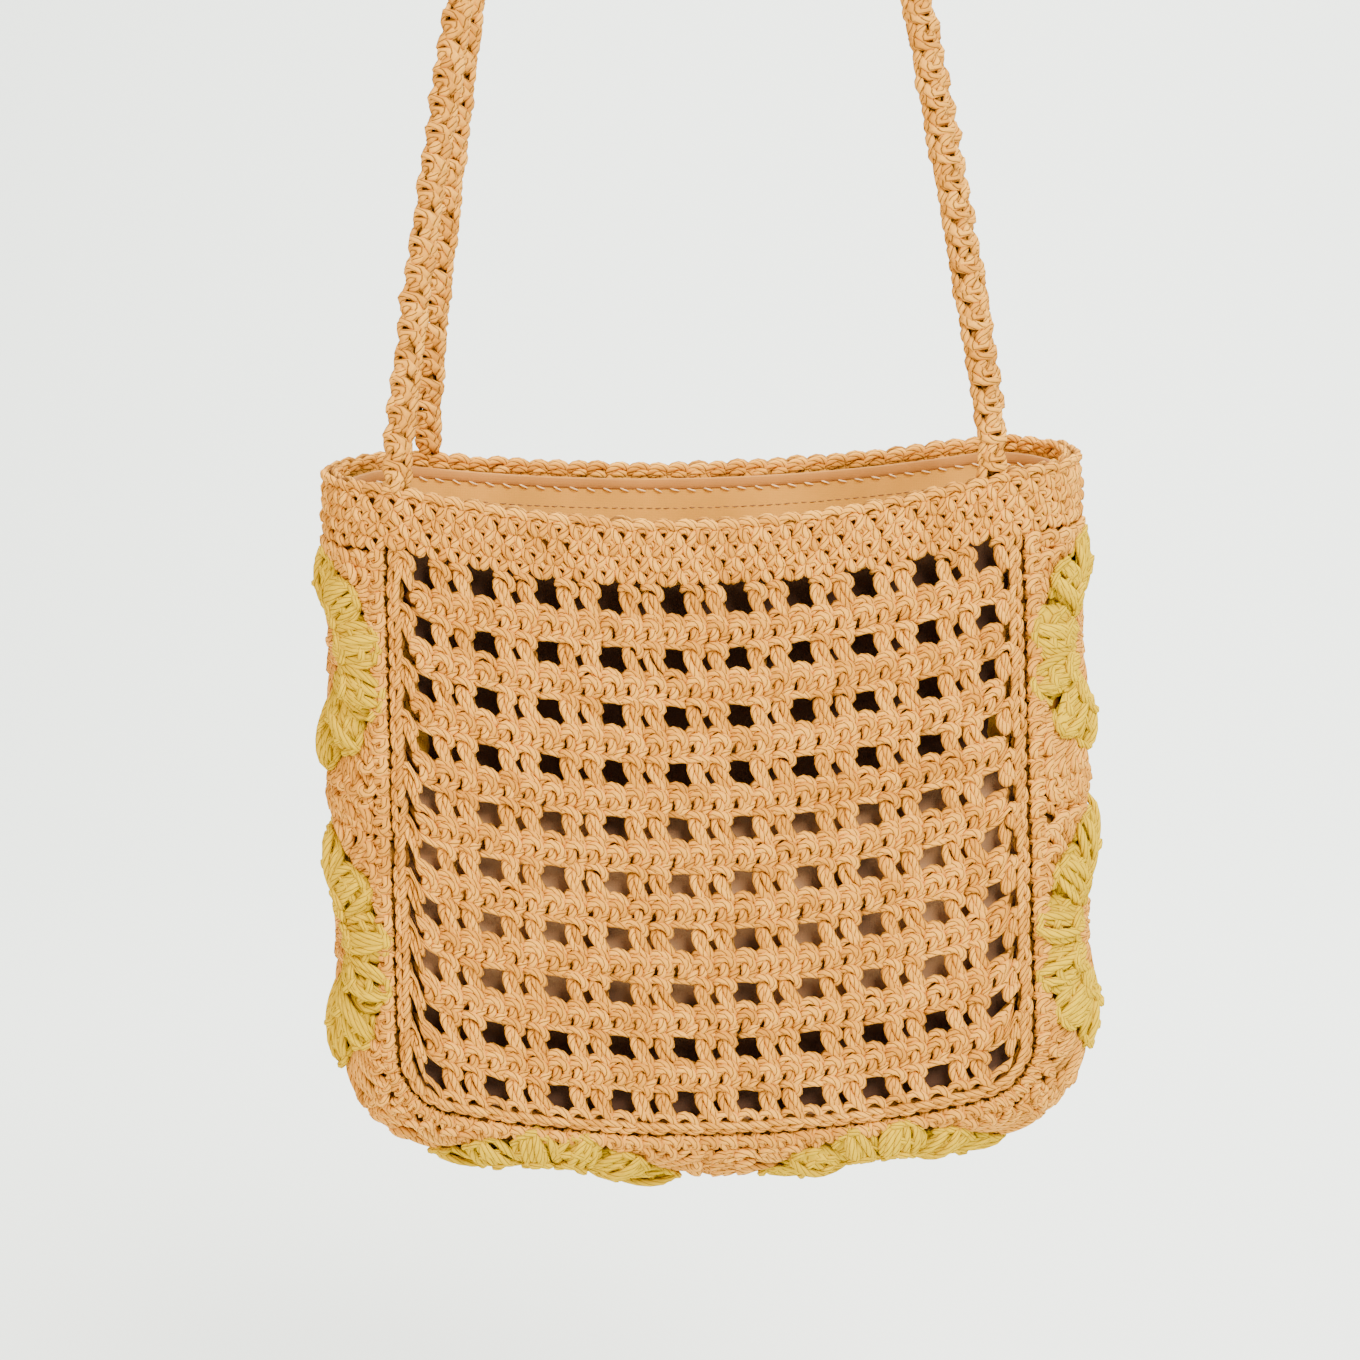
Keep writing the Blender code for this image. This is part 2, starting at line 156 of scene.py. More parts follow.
def guide_sheet(name, low, high, cell, place):
    """Hidden sheet that stitches are laid on: place(x, y) is the bag's point under a flat spot."""
    low, high = Vector(low), Vector(high)
    columns = math.ceil((high.x - low.x) / cell)
    rows = math.ceil((high.y - low.y) / cell)
    sheet = bmesh.new()
    bmesh.ops.create_grid(sheet, x_segments=columns, y_segments=rows, size=1.0)
    flat_map = sheet.loops.layers.uv.new("flat")
    outward = sheet.verts.layers.float_vector.new("outward")
    for patch in sheet.faces:
        for corner in patch.loops:
            corner[flat_map].uv = [(c + 1) / 2 for c in corner.vert.co.xy]
    for corner in sheet.verts:
        share = Vector(((corner.co.x + 1) / 2, (corner.co.y + 1) / 2))
        flat = low + (high - low) * share
        corner.co = place(flat.x, flat.y)
    sheet.normal_update()
    for corner in sheet.verts:
        corner[outward] = corner.normal
    mesh = bpy.data.meshes.new(name)
    sheet.to_mesh(mesh)
    sheet.free()
    guide = bpy.data.objects.new(name, mesh)
    guide.hide_render = True
    bpy.context.scene.collection.objects.link(guide)
    return {"sheet": guide, "low": low, "size": high - low}


def face_guide(side):
    """Guide for a face, seen from outside, with its flat origin in the middle of its top edge."""
    margin = 0.006

    def place(x, y):
        across = -SIDE[side] * 2 * x / FACE_FLAT_WIDTH
        x_at, z = face_spot(
            side, across, -y / FACE_FLAT_HEIGHT, RIM_BAND_HEIGHT + GAP, SEAM_CLEARANCE
        )
        return hung(x_at, face_y(side, x_at, z), z)

    half = FACE_FLAT_WIDTH / 2 + margin
    return guide_sheet(side + "_guide", (-half, -FACE_FLAT_HEIGHT - margin), (half, margin), 0.003, place)


strand_kit = bpy.data.collections.new("strand_kit")
bpy.context.scene.collection.children.link(strand_kit)


def smooth_spots(spots, step):
    """Even points along a smooth curve through given spots."""
    spots = [Vector(spot) for spot in spots]
    reached = [0.0]
    for before, after in zip(spots, spots[1:]):
        reached.append(reached[-1] + (after - before).length)
    count = max(2, round(reached[-1] / step))
    ends = [2 * spots[0] - spots[1]] + spots + [2 * spots[-1] - spots[-2]]
    smooth = []
    for index in range(count + 1):
        wanted = reached[-1] * index / count
        at = min(bisect.bisect_right(reached, wanted) - 1, len(spots) - 2)
        t = (wanted - reached[at]) / (reached[at + 1] - reached[at])
        a, b, c, d = ends[at : at + 4]
        curve = 2 * b + (c - a) * t + (2 * a - 5 * b + 4 * c - d) * t**2
        curve += (3 * b - a - 3 * c + d) * t**3
        smooth.append(curve / 2)
    return smooth


def add_strand(name, spots, radius=YARN_RADIUS / MM, flatness=1.0, sides=6, step=1.8):
    """Its map runs round it and, in metres, along it. Flatness is its thickness out of the fabric, as
    a share of its width."""
    path = smooth_spots(spots, step)
    tube = bmesh.new()
    yarn_map = tube.loops.layers.uv.new("yarn")
    rings = []
    for index, spot in enumerate(path):
        along = (path[min(index + 1, len(path) - 1)] - path[max(index - 1, 0)]).normalized()
        beside = along.cross(Vector((0, 0, 1))).normalized()
        above = beside.cross(along)
        at_end = index in (0, len(path) - 1)
        width = radius * (0.7 if at_end else 1)
        rings.append(
            [
                tube.verts.new(
                    (
                        spot
                        + beside * width * math.cos(2 * math.pi * side / sides)
                        + above * width * flatness * math.sin(2 * math.pi * side / sides)
                    )
                    * MM
                )
                for side in range(sides)
            ]
        )

    def add_face(corners, spots_on_map):
        for corner, spot in zip(tube.faces.new(corners).loops, spots_on_map):
            corner[yarn_map].uv = spot

    length = 0.0
    for index in range(len(path) - 1):
        further = length + (path[index + 1] - path[index]).length * MM
        for side in range(sides):
            other = (side + 1) % sides
            left, right = side / sides, (side + 1) / sides
            add_face(
                [rings[index][side], rings[index][other], rings[index + 1][other], rings[index + 1][side]],
                [(left, length), (right, length), (right, further), (left, further)],
            )
        length = further
    for ring, spot, inner, reach in (
        (rings[0][::-1], path[0] + (path[0] - path[1]).normalized() * radius * 0.5, 0.0, -0.0005),
        (rings[-1], path[-1] + (path[-1] - path[-2]).normalized() * radius * 0.5, length, length + 0.0005),
    ):
        pole = tube.verts.new(spot * MM)
        for side in range(sides):
            other = (side + 1) % sides
            add_face(
                [ring[side], ring[other], pole],
                [(side / sides, inner), ((side + 1) / sides, inner), ((side + 0.5) / sides, reach)],
            )
    bmesh.ops.recalc_face_normals(tube, faces=tube.faces)
    mesh = bpy.data.meshes.new(name)
    tube.to_mesh(mesh)
    tube.free()
    index = len(strand_kit.objects)
    strand = bpy.data.objects.new(f"{index:03d}_{name}", mesh)
    strand_kit.objects.link(strand)
    strand_kit_index[name] = index


strand_kit_index = {}

# A double-crochet post, from the level of the middle of the holes
add_strand(
    "post_top",
    [(-3.8, 3.9, 0.2), (-2.6, 5.3, 1.6), (-0.2, 5.4, 2.6), (1.9, 4.0, 2.9), (2.6, 1.8, 2.3), (1.6, 0.0, 1.0)],
)
add_strand(
    "post_left",
    [(-1.5, 4.0, 0.6), (-2.4, 2.0, 1.3), (-2.0, -0.6, 1.7), (-0.6, -3.2, 2.0), (0.6, -5.6, 1.6), (1.2, -7.4, 0.1)],
)
add_strand(
    "post_wrap",
    [(-1.0, 3.2, 1.0), (0.3, 1.4, 2.2), (0.8, -0.9, 1.9), (1.5, -3.0, 1.3), (2.7, -5.0, 1.2), (3.4, -6.6, 0.1)],
)
# Cores lie deep in the fabric and close the gaps between loops; the yarn's painted shade makes them dark, standing
# in for the shade in those gaps
add_strand("post_core", [(-0.2, 4.6, -0.9), (1.0, -5.4, -0.9)], radius=2.0, flatness=0.5, step=9)

# A single-crochet stitch, from the middle of its cap, with the loop that it is worked into
add_strand("loop", [(-3.6, 1.0, 0.2), (-2.9, 3.2, 1.3), (-0.8, 4.4, 1.9), (1.5, 3.6, 2.1), (3.0, 1.8, 1.7), (4.2, 0.4, 0.5)])
add_strand(
    "cap",
    [(-3.2, -1.9, 0.7), (-2.6, 0.4, 2.0), (-0.3, 1.9, 2.9), (2.0, 0.8, 2.9), (2.7, -1.6, 2.2), (1.9, -3.4, 0.9)],
    radius=1.65,
)
add_strand("cap_leg_left", [(-1.0, 0.4, 1.4), (-0.2, -1.4, 2.4), (-0.3, -3.4, 2.4), (-1.2, -5.4, 0.8)], radius=1.65)
add_strand("cap_leg_right", [(4.3, -2.2, 0.3), (3.2, -3.4, 1.7), (1.9, -4.6, 2.0), (1.2, -6.2, 0.4)], radius=1.6)
add_strand("chain", [(-4.0, -6.7, 0.2), (-2.2, -5.9, 1.2), (0.6, -5.8, 1.4), (2.6, -6.3, 1.1), (4.0, -7.0, 0.1)])
add_strand("row_core", [(-3.8, -1.2, -0.9), (3.8, -1.2, -0.9)], radius=5.4, flatness=0.2, step=9)

STITCHES = {
    "post": ["post_top", "post_left", "post_wrap", "post_core"],
    "single": ["loop", "cap", "cap_leg_left", "cap_leg_right", "chain", "row_core"],
    "loop": ["loop"],
    "row_core": ["row_core"],
}


def work(fabric, stitch, x, y, turn=0.0, size=(1, 1, 1), lift=0.0):
    """Adds one stitch to a fabric, which is a list of strands on their flat spots."""
    for strand in STITCHES[stitch]:
        fabric.append(
            {
                "spot": (x, y, lift),
                "strand": strand_kit_index[strand],
                "turn": turn,
                "size": size,
            }
        )


def add_node(tree, kind, **settings):
    node = tree.nodes.new(kind)
    for key, value in settings.items():
        setattr(node, key, value)
    return node


def make_laying_tree():
    """Geometry nodes that copy strands to their flat spots and then lay them on a guide sheet."""
    tree = bpy.data.node_groups.new("lay_stitches", "GeometryNodeTree")
    for name, kind in (
        ("Flat Spots", "Geometry"),
        ("Guide", "Object"),
        ("Strands", "Collection"),
        ("Flat Low", "Vector"),
        ("Flat Size", "Vector"),
        ("Wobble", "Float"),
        ("Turn Wobble", "Float"),
        ("Seed", "Int"),
        ("Yarn", "Material"),
    ):
        tree.interface.new_socket(name=name, in_out="INPUT", socket_type="NodeSocket" + kind)
    tree.interface.new_socket(name="Fabric", in_out="OUTPUT", socket_type="NodeSocketGeometry")
    given = add_node(tree, "NodeGroupInput")
    result = add_node(tree, "NodeGroupOutput")
    link = tree.links.new

    def attribute(name, data_type):
        node = add_node(tree, "GeometryNodeInputNamedAttribute", data_type=data_type)
        node.inputs["Name"].default_value = name
        return node.outputs["Attribute"]

    def random_vector(reach):
        """Random offset of each strand, up to reach each way."""
        node = add_node(tree, "FunctionNodeRandomValue", data_type="FLOAT_VECTOR")
        node.inputs["Min"].default_value = (-1, -1, -1)
        node.inputs["Max"].default_value = (1, 1, 1)
        link(given.outputs["Seed"], node.inputs["Seed"])
        scaled = add_node(tree, "ShaderNodeVectorMath", operation="SCALE")
        link(node.outputs["Value"], scaled.inputs[0])
        link(reach, scaled.inputs["Scale"])
        return scaled.outputs["Vector"]

    moved = add_node(tree, "GeometryNodeSetPosition")
    link(given.outputs["Flat Spots"], moved.inputs["Geometry"])
    link(random_vector(given.outputs["Wobble"]), moved.inputs["Offset"])

    turn = add_node(tree, "ShaderNodeCombineXYZ")
    link(attribute("turn", "FLOAT"), turn.inputs["Z"])
    turned = add_node(tree, "ShaderNodeVectorMath", operation="ADD")
    link(turn.outputs["Vector"], turned.inputs[0])
    link(random_vector(given.outputs["Turn Wobble"]), turned.inputs[1])
    rotation = add_node(tree, "FunctionNodeEulerToRotation")
    link(turned.outputs["Vector"], rotation.inputs["Euler"])

    strands = add_node(tree, "GeometryNodeCollectionInfo")
    strands.inputs["Separate Children"].default_value = True
    strands.inputs["Reset Children"].default_value = True
    link(given.outputs["Strands"], strands.inputs["Collection"])
    copies = add_node(tree, "GeometryNodeInstanceOnPoints")
    link(moved.outputs["Geometry"], copies.inputs["Points"])
    link(strands.outputs["Instances"], copies.inputs["Instance"])
    copies.inputs["Pick Instance"].default_value = True
    link(attribute("strand", "INT"), copies.inputs["Instance Index"])
    link(rotation.outputs["Rotation"], copies.inputs["Rotation"])
    link(attribute("size", "FLOAT_VECTOR"), copies.inputs["Scale"])

    shade = add_node(tree, "FunctionNodeRandomValue", data_type="FLOAT")
    link(given.outputs["Seed"], shade.inputs["Seed"])
    shaded = add_node(tree, "GeometryNodeStoreNamedAttribute", data_type="FLOAT", domain="INSTANCE")
    shaded.inputs["Name"].default_value = "shade"
    link(copies.outputs["Instances"], shaded.inputs["Geometry"])
    link(shade.outputs["Value_001"] if "Value_001" in shade.outputs else shade.outputs[1], shaded.inputs["Value"])
    real = add_node(tree, "GeometryNodeRealizeInstances")
    link(shaded.outputs["Geometry"], real.inputs["Geometry"])

    # Each point keeps its height over the guide, which gives the place and the way out of the fabric
    place = add_node(tree, "GeometryNodeInputPosition")
    height = add_node(tree, "ShaderNodeSeparateXYZ")
    link(place.outputs["Position"], height.inputs["Vector"])
    # The height is also stored for the yarn's painted shade, which darkens yarn that lies deep in the fabric
    measured = add_node(tree, "GeometryNodeStoreNamedAttribute", data_type="FLOAT", domain="POINT")
    measured.inputs["Name"].default_value = "height"
    link(real.outputs["Geometry"], measured.inputs["Geometry"])
    link(height.outputs["Z"], measured.inputs["Value"])
    from_low = add_node(tree, "ShaderNodeVectorMath", operation="SUBTRACT")
    link(place.outputs["Position"], from_low.inputs[0])
    link(given.outputs["Flat Low"], from_low.inputs[1])
    on_map = add_node(tree, "ShaderNodeVectorMath", operation="DIVIDE")
    link(from_low.outputs["Vector"], on_map.inputs[0])
    link(given.outputs["Flat Size"], on_map.inputs[1])
    guide = add_node(tree, "GeometryNodeObjectInfo")
    link(given.outputs["Guide"], guide.inputs["Object"])
    sampled = []
    for value in (place.outputs["Position"], attribute("outward", "FLOAT_VECTOR")):
        sample = add_node(tree, "GeometryNodeSampleUVSurface", data_type="FLOAT_VECTOR")
        link(guide.outputs["Geometry"], sample.inputs["Mesh"])
        link(value, sample.inputs["Value"])
        link(attribute("flat", "FLOAT_VECTOR"), sample.inputs["UV Map"])
        link(on_map.outputs["Vector"], sample.inputs["Sample UV"])
        sampled.append(sample.outputs["Value"])
    lifted = add_node(tree, "ShaderNodeVectorMath", operation="SCALE")
    link(sampled[1], lifted.inputs[0])
    link(height.outputs["Z"], lifted.inputs["Scale"])
    laid_at = add_node(tree, "ShaderNodeVectorMath", operation="ADD")
    link(sampled[0], laid_at.inputs[0])
    link(lifted.outputs["Vector"], laid_at.inputs[1])
    laid = add_node(tree, "GeometryNodeSetPosition")
    link(measured.outputs["Geometry"], laid.inputs["Geometry"])
    link(laid_at.outputs["Vector"], laid.inputs["Position"])

    smooth = add_node(tree, "GeometryNodeSetShadeSmooth")
    link(laid.outputs["Geometry"], smooth.inputs["Geometry"])
    painted = add_node(tree, "GeometryNodeSetMaterial")
    link(smooth.outputs["Geometry"], painted.inputs["Geometry"])
    link(given.outputs["Yarn"], painted.inputs["Material"])
    link(painted.outputs["Geometry"], result.inputs["Fabric"])
    return tree


laying_tree = make_laying_tree()


def crochet(name, guide, fabric, yarn, seed, wobble=0.0004, turn_wobble=0.11):
    """Lays a fabric on its guide and returns it as one plain mesh."""
    spots = bpy.data.meshes.new(name + "_spots")
    spots.from_pydata([strand["spot"] for strand in fabric], [], [])
    for key, kind in (("strand", "INT"), ("turn", "FLOAT")):
        values = spots.attributes.new(key, kind, "POINT")
        values.data.foreach_set("value", [strand[key] for strand in fabric])
    sizes = spots.attributes.new("size", "FLOAT_VECTOR", "POINT")
    sizes.data.foreach_set("vector", [side for strand in fabric for side in strand["size"]])
    piece = bpy.data.objects.new(name, spots)
    bpy.context.scene.collection.objects.link(piece)
    laying = piece.modifiers.new("lay stitches", "NODES")
    laying.node_group = laying_tree
    sockets = {socket.name: socket.identifier for socket in laying_tree.interface.items_tree}
    for socket, value in (
        ("Guide", guide["sheet"]),
        ("Strands", strand_kit),
        ("Flat Low", (*guide["low"], 0.0)),
        ("Flat Size", (*guide["size"], 1.0)),
        ("Wobble", wobble),
        ("Turn Wobble", turn_wobble),
        ("Seed", seed),
        ("Yarn", yarn),
    ):
        laying[sockets[socket]] = value
    graph = bpy.context.evaluated_depsgraph_get()
    mesh = bpy.data.meshes.new_from_object(
        piece.evaluated_get(graph), preserve_all_data_layers=True, depsgraph=graph
    )
    piece.modifiers.remove(laying)
    piece.data = mesh
    mesh.name = name
    bpy.data.meshes.remove(spots)
    for key in ("strand", "turn", "size"):
        if key in mesh.attributes:
            mesh.attributes.remove(mesh.attributes[key])
    return piece


def make_ply_group():
    """Shader group for plied yarn: twisted plies with fine fibres along them."""
    group = bpy.data.node_groups.new("plied_yarn", "ShaderNodeTree")
    for name, value in (("Plies", 4.0), ("Lead", 0.011), ("Fibre Strength", 0.3)):
        socket = group.interface.new_socket(name=name, in_out="INPUT", socket_type="NodeSocketFloat")
        socket.default_value = value
    for name in ("Height", "Crease Shade", "Fleck"):
        group.interface.new_socket(name=name, in_out="OUTPUT", socket_type="NodeSocketFloat")
    given = add_node(group, "NodeGroupInput")
    result = add_node(group, "NodeGroupOutput")
    link = group.links.new

    def math_node(operation, first, second=None):
        node = add_node(group, "ShaderNodeMath", operation=operation)
        for socket, value in zip(node.inputs, (first, second)):
            if isinstance(value, (int, float)):
                socket.default_value = value
            elif value is not None:
                link(value, socket)
        return node.outputs["Value"]

    yarn_map = add_node(group, "ShaderNodeUVMap", uv_map="yarn")
    parts = add_node(group, "ShaderNodeSeparateXYZ")
    link(yarn_map.outputs["UV"], parts.inputs["Vector"])
    along = math_node("DIVIDE", parts.outputs["Y"], given.outputs["Lead"])
    phase = math_node("MULTIPLY", math_node("ADD", parts.outputs["X"], along), given.outputs["Plies"])
    ply = math_node("ABSOLUTE", math_node("SINE", math_node("MULTIPLY", phase, math.pi)))
    shade = add_node(group, "ShaderNodeAttribute", attribute_name="shade")
    fibre_spot = add_node(group, "ShaderNodeCombineXYZ")
    link(math_node("MULTIPLY", phase, 5.0), fibre_spot.inputs["X"])
    link(math_node("MULTIPLY", parts.outputs["Y"], 160.0), fibre_spot.inputs["Y"])
    link(math_node("MULTIPLY", shade.outputs["Fac"], 40.0), fibre_spot.inputs["Z"])
    fibre = add_node(group, "ShaderNodeTexNoise")
    fibre.inputs["Scale"].default_value = 1.0
    fibre.inputs["Detail"].default_value = 2.0
    link(fibre_spot.outputs["Vector"], fibre.inputs["Vector"])
    fibre_height = math_node("MULTIPLY", fibre.outputs["Fac"], given.outputs["Fibre Strength"])
    link(math_node("ADD", math_node("POWER", ply, 0.6), fibre_height), result.inputs["Height"])
    # Painted shade in the grooves between the plies
    crease_shade = math_node("SUBTRACT", 1.0, math_node("MINIMUM", math_node("MULTIPLY", ply, 2.2), 1.0))
    link(crease_shade, result.inputs["Crease Shade"])
    link(fibre.outputs["Fac"], result.inputs["Fleck"])
    return group


ply_group = make_ply_group()


def make_yarn(name, colours, plies, lead, fibre, shine, top):
    """Matt cotton yarn: colours has a deep, a middle and a light one, and one of painted shade for the creases
    between plies and where the yarn lies far below the fabric's top."""
    yarn = bpy.data.materials.new(name)
    yarn.use_nodes = True
    tree = yarn.node_tree
    link = tree.links.new
    surface = tree.nodes["Principled BSDF"]
    surface.inputs["Roughness"].default_value = 0.88
    surface.inputs["Specular IOR Level"].default_value = shine
    ply = add_node(tree, "ShaderNodeGroup", node_tree=ply_group)
    ply.inputs["Plies"].default_value = plies
    ply.inputs["Lead"].default_value = lead
    ply.inputs["Fibre Strength"].default_value = fibre
    shade = add_node(tree, "ShaderNodeAttribute", attribute_name="shade")
    place = add_node(tree, "ShaderNodeTexCoord")
    patches = add_node(tree, "ShaderNodeTexNoise")
    patches.inputs["Scale"].default_value = 28.0
    link(place.outputs["Object"], patches.inputs["Vector"])
    mixed = add_node(tree, "ShaderNodeMath", operation="MULTIPLY_ADD")
    link(shade.outputs["Fac"], mixed.inputs[0])
    mixed.inputs[1].default_value = 0.45
    flecked = add_node(tree, "ShaderNodeMath", operation="MULTIPLY_ADD")
    link(ply.outputs["Fleck"], flecked.inputs[0])
    flecked.inputs[1].default_value = 0.5
    link(mixed.outputs["Value"], flecked.inputs[2])
    patched = add_node(tree, "ShaderNodeMath", operation="MULTIPLY")
    link(patches.outputs["Fac"], patched.inputs[0])
    patched.inputs[1].default_value = 0.3
    link(patched.outputs["Value"], mixed.inputs[2])
    ramp = add_node(tree, "ShaderNodeValToRGB")
    ramp.color_ramp.elements[0].position = 0.25
    ramp.color_ramp.elements[0].color = (*colours["deep"], 1)
    ramp.color_ramp.elements[1].position = 0.85
    ramp.color_ramp.elements[1].color = (*colours["light"], 1)
    middle = ramp.color_ramp.elements.new(0.52)
    middle.color = (*colours["middle"], 1)
    link(flecked.outputs["Value"], ramp.inputs["Fac"])
    # Painted shade: the crease colour is laid over the ply grooves and, by the stored height, over yarn deep in the
    # fabric, where shade falls between the loops
    height = add_node(tree, "ShaderNodeAttribute", attribute_name="height")
    depth_shade = add_node(tree, "ShaderNodeMapRange", interpolation_type="SMOOTHSTEP")
    depth = add_node(tree, "ShaderNodeMath", operation="ABSOLUTE")
    link(height.outputs["Fac"], depth.inputs[0])
    link(depth.outputs["Value"], depth_shade.inputs["Value"])
    depth_shade.inputs["From Min"].default_value = top * 0.85
    depth_shade.inputs["From Max"].default_value = -top * 0.15
    painted_shade_colour = add_node(tree, "ShaderNodeMix", data_type="RGBA")
    dark = add_node(tree, "ShaderNodeMath", operation="MAXIMUM")
    link(ply.outputs["Crease Shade"], dark.inputs[0])
    link(depth_shade.outputs["Result"], dark.inputs[1])
    link(dark.outputs["Value"], painted_shade_colour.inputs["Factor"])
    link(ramp.outputs["Color"], painted_shade_colour.inputs["A"])
    painted_shade_colour.inputs["B"].default_value = (*colours["crease_shade"], 1)
    link(painted_shade_colour.outputs["Result"], surface.inputs["Base Color"])
    bump = add_node(tree, "ShaderNodeBump")
    bump.inputs["Strength"].default_value = 0.9
    bump.inputs["Distance"].default_value = 0.0004
    link(ply.outputs["Height"], bump.inputs["Height"])
    link(bump.outputs["Normal"], surface.inputs["Normal"])
    return yarn


tan_yarn = make_yarn(
    "tan_cotton_yarn",
    {
        "deep": (0.46, 0.175, 0.014),
        "middle": (0.63, 0.264, 0.023),
        "light": (0.80, 0.366, 0.044),
        # painted shade for ply grooves and deep yarn
        "crease_shade": (0.10, 0.031, 0.005),
    },
    plies=4.0,
    lead=0.012,
    fibre=0.45,
    shine=0.10,
    top=0.0029,
)


def work_mesh_face():
    """Rows of paired posts between holes, and rows of single crochet between them."""
    fabric = []
    column_step = (FACE_FLAT_WIDTH - 2 * MESH_EDGE - HOLE_WIDTH) / (HOLE_COLUMNS - 1)
    row_step = (FACE_FLAT_HEIGHT - 2 * MESH_EDGE - HOLE_HEIGHT) / (HOLE_ROWS - 1)
    stitch_width = column_step / 3
    post_offset = 0.0039
    post_lean = 0.1
    cap_drop = 0.0088
    selvedge = FACE_FLAT_WIDTH / 2 - 0.0008
    first_x = -FACE_FLAT_WIDTH / 2 + MESH_EDGE + HOLE_WIDTH / 2
    for row in range(HOLE_ROWS):
        y = -MESH_EDGE - HOLE_HEIGHT / 2 - row * row_step
        for column in range(HOLE_COLUMNS - 1):
            x = first_x + (column + 0.5) * column_step
            work(fabric, "post", x - post_offset, y)
            work(fabric, "post", x + post_offset, y, turn=post_lean)
        for x in (-selvedge, selvedge):
            work(fabric, "post", x, y, size=(0.9, 1, 1))
        last_row = row == HOLE_ROWS - 1
        for column in range(3 * HOLE_COLUMNS - 2):
            x = first_x + column * stitch_width
            work(fabric, "loop" if last_row else "single", x, y - cap_drop)
    return fabric


front_fabric = work_mesh_face()
front_face = crochet("front_face_crochet", face_guide("front"), front_fabric, tan_yarn, seed=1)
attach(front_face, "root")
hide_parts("front_face")


# Back face: the same mesh stitch, which hangs flat on the side away from the viewer.
back_face = crochet("back_face_crochet", face_guide("back"), work_mesh_face(), tan_yarn, seed=2)
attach(back_face, "root")
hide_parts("back_face")


# Rim band: rounds of single crochet in the same tan cotton, worked on round the top of the faces and
# the gusset, and finished with a chained edge that shows on both sides.
BAND_ROUNDS = 4
STITCH_WIDTH = 0.00713
GUSSET_BULGE = 0.0247
ARC_RADIUS = (BAG_DEPTH**2 / 4 + GUSSET_BULGE**2) / (2 * GUSSET_BULGE)
ARC_HALF_ANGLE = 2 * math.atan2(2 * GUSSET_BULGE, BAG_DEPTH)

add_strand("v_left", [(-3.0, 2.2, 0.2), (-2.7, 0.6, 1.7), (-1.5, -1.2, 2.5), (-0.1, -2.8, 0.8)], radius=1.7)
add_strand("v_right", [(2.5, 2.3, 0.2), (2.6, 0.5, 1.6), (1.9, -1.2, 2.1), (1.0, -2.5, 0.5)], radius=1.7)
add_strand("v_top", [(-1.9, 0.6, 0.3), (-0.5, 2.2, 1.4), (1.2, 1.7, 1.3), (1.9, -0.2, 0.3)], radius=1.5)
add_strand("edge_link", [(-4.2, -1.7, 0.3), (-2.6, 0.3, 1.6), (-0.2, 1.2, 2.0), (2.4, 0.5, 1.9), (4.3, -1.3, 0.4)])
add_strand("inner_link", [(-4.0, -0.9, -0.1), (-2.2, 0.9, -1.5), (0.6, 1.0, -2.0), (3.0, -0.6, -1.6), (3.9, -2.2, -0.3)])
add_strand("inner_bar", [(-3.2, -2.4, -0.1), (-1.6, -1.3, -1.6), (0.8, -1.8, -1.8), (2.6, -3.2, -0.5)])
add_strand("v_core", [(-3.8, 0.3, -0.8), (3.8, 0.3, -0.8)], radius=4.0, flatness=0.25, step=9)
STITCHES["v"] = ["v_left", "v_right", "v_top", "v_core"]
STITCHES["edge"] = ["edge_link", "inner_link", "inner_bar"]


class Path:
    """A line through points, measured by distance along it."""

    def __init__(self, points, closed=False):
        self.points = points + points[:1] if closed else points
        self.closed = closed
        self.reached = [0.0]
        for before, after in zip(self.points, self.points[1:]):
            self.reached.append(self.reached[-1] + (after - before).length)
        self.length = self.reached[-1]

    def share(self, distance):
        """Index of the point before a distance, and the share of the way to the next one."""
        wanted = distance % self.length if self.closed else min(max(distance, 0), self.length)
        after = min(bisect.bisect_right(self.reached, wanted), len(self.reached) - 1)
        before = after - 1
        return before, (wanted - self.reached[before]) / (self.reached[after] - self.reached[before])

    def at(self, distance):
        before, share = self.share(distance)
        return self.points[before].lerp(self.points[before + 1], share)


def rim_path():
    """Middle of the band's top edge: front from left to right, right arc, back and left arc."""
    straight_steps, arc_steps = 56, 24
    loop = []
    for side in ("front", "back"):
        hand = -SIDE[side]
        for step in range(straight_steps):
            x = hand * (2 * step / straight_steps - 1) * TOP_HALF_WIDTH
            loop.append(hung(x, face_y(side, x, RIM_Z), RIM_Z - rim_sag(side, x)))
        for step in range(arc_steps):
            angle = (2 * step / arc_steps - 1) * ARC_HALF_ANGLE
            stands_out = ARC_RADIUS * (math.cos(angle) - math.cos(ARC_HALF_ANGLE))
            x = hand * (TOP_HALF_WIDTH + stands_out)
            loop.append(hung(x, hand * ARC_RADIUS * math.sin(angle), RIM_Z))
    return Path(loop, closed=True)


rim = rim_path()
band_margin = 0.008


def band_place(x, y):
    return rim.at(x) + Vector((0, 0, y))


band_guide = guide_sheet(
    "band_guide",
    (-band_margin, -RIM_BAND_HEIGHT - band_margin),
    (rim.length + band_margin, band_margin),
    0.0025,
    band_place,
)


def work_band():
    fabric = []
    count = round(rim.length / STITCH_WIDTH)
    pitch = rim.length / count
    chain_drop = 0.0015
    first_drop = 0.0052
    round_step = (RIM_BAND_HEIGHT - first_drop) / (BAND_ROUNDS - 0.4)
    for number in range(count):
        work(fabric, "edge", number * pitch, -chain_drop)
    for level in range(BAND_ROUNDS):
        for number in range(count):
            x = (number + 0.36 * level) * pitch
            work(fabric, "v", x, -first_drop - level * round_step)
    return fabric


rim_band = crochet("rim_band_crochet", band_guide, work_band(), tan_yarn, seed=3)
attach(rim_band, "root")
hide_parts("rim_band")


# Join ridges: the stitches in tan cotton that join each face to the gusset, which stand up as a chain
# along the seam.
SEAM_TILT = math.radians(35)
LINK_STEP = 0.0058

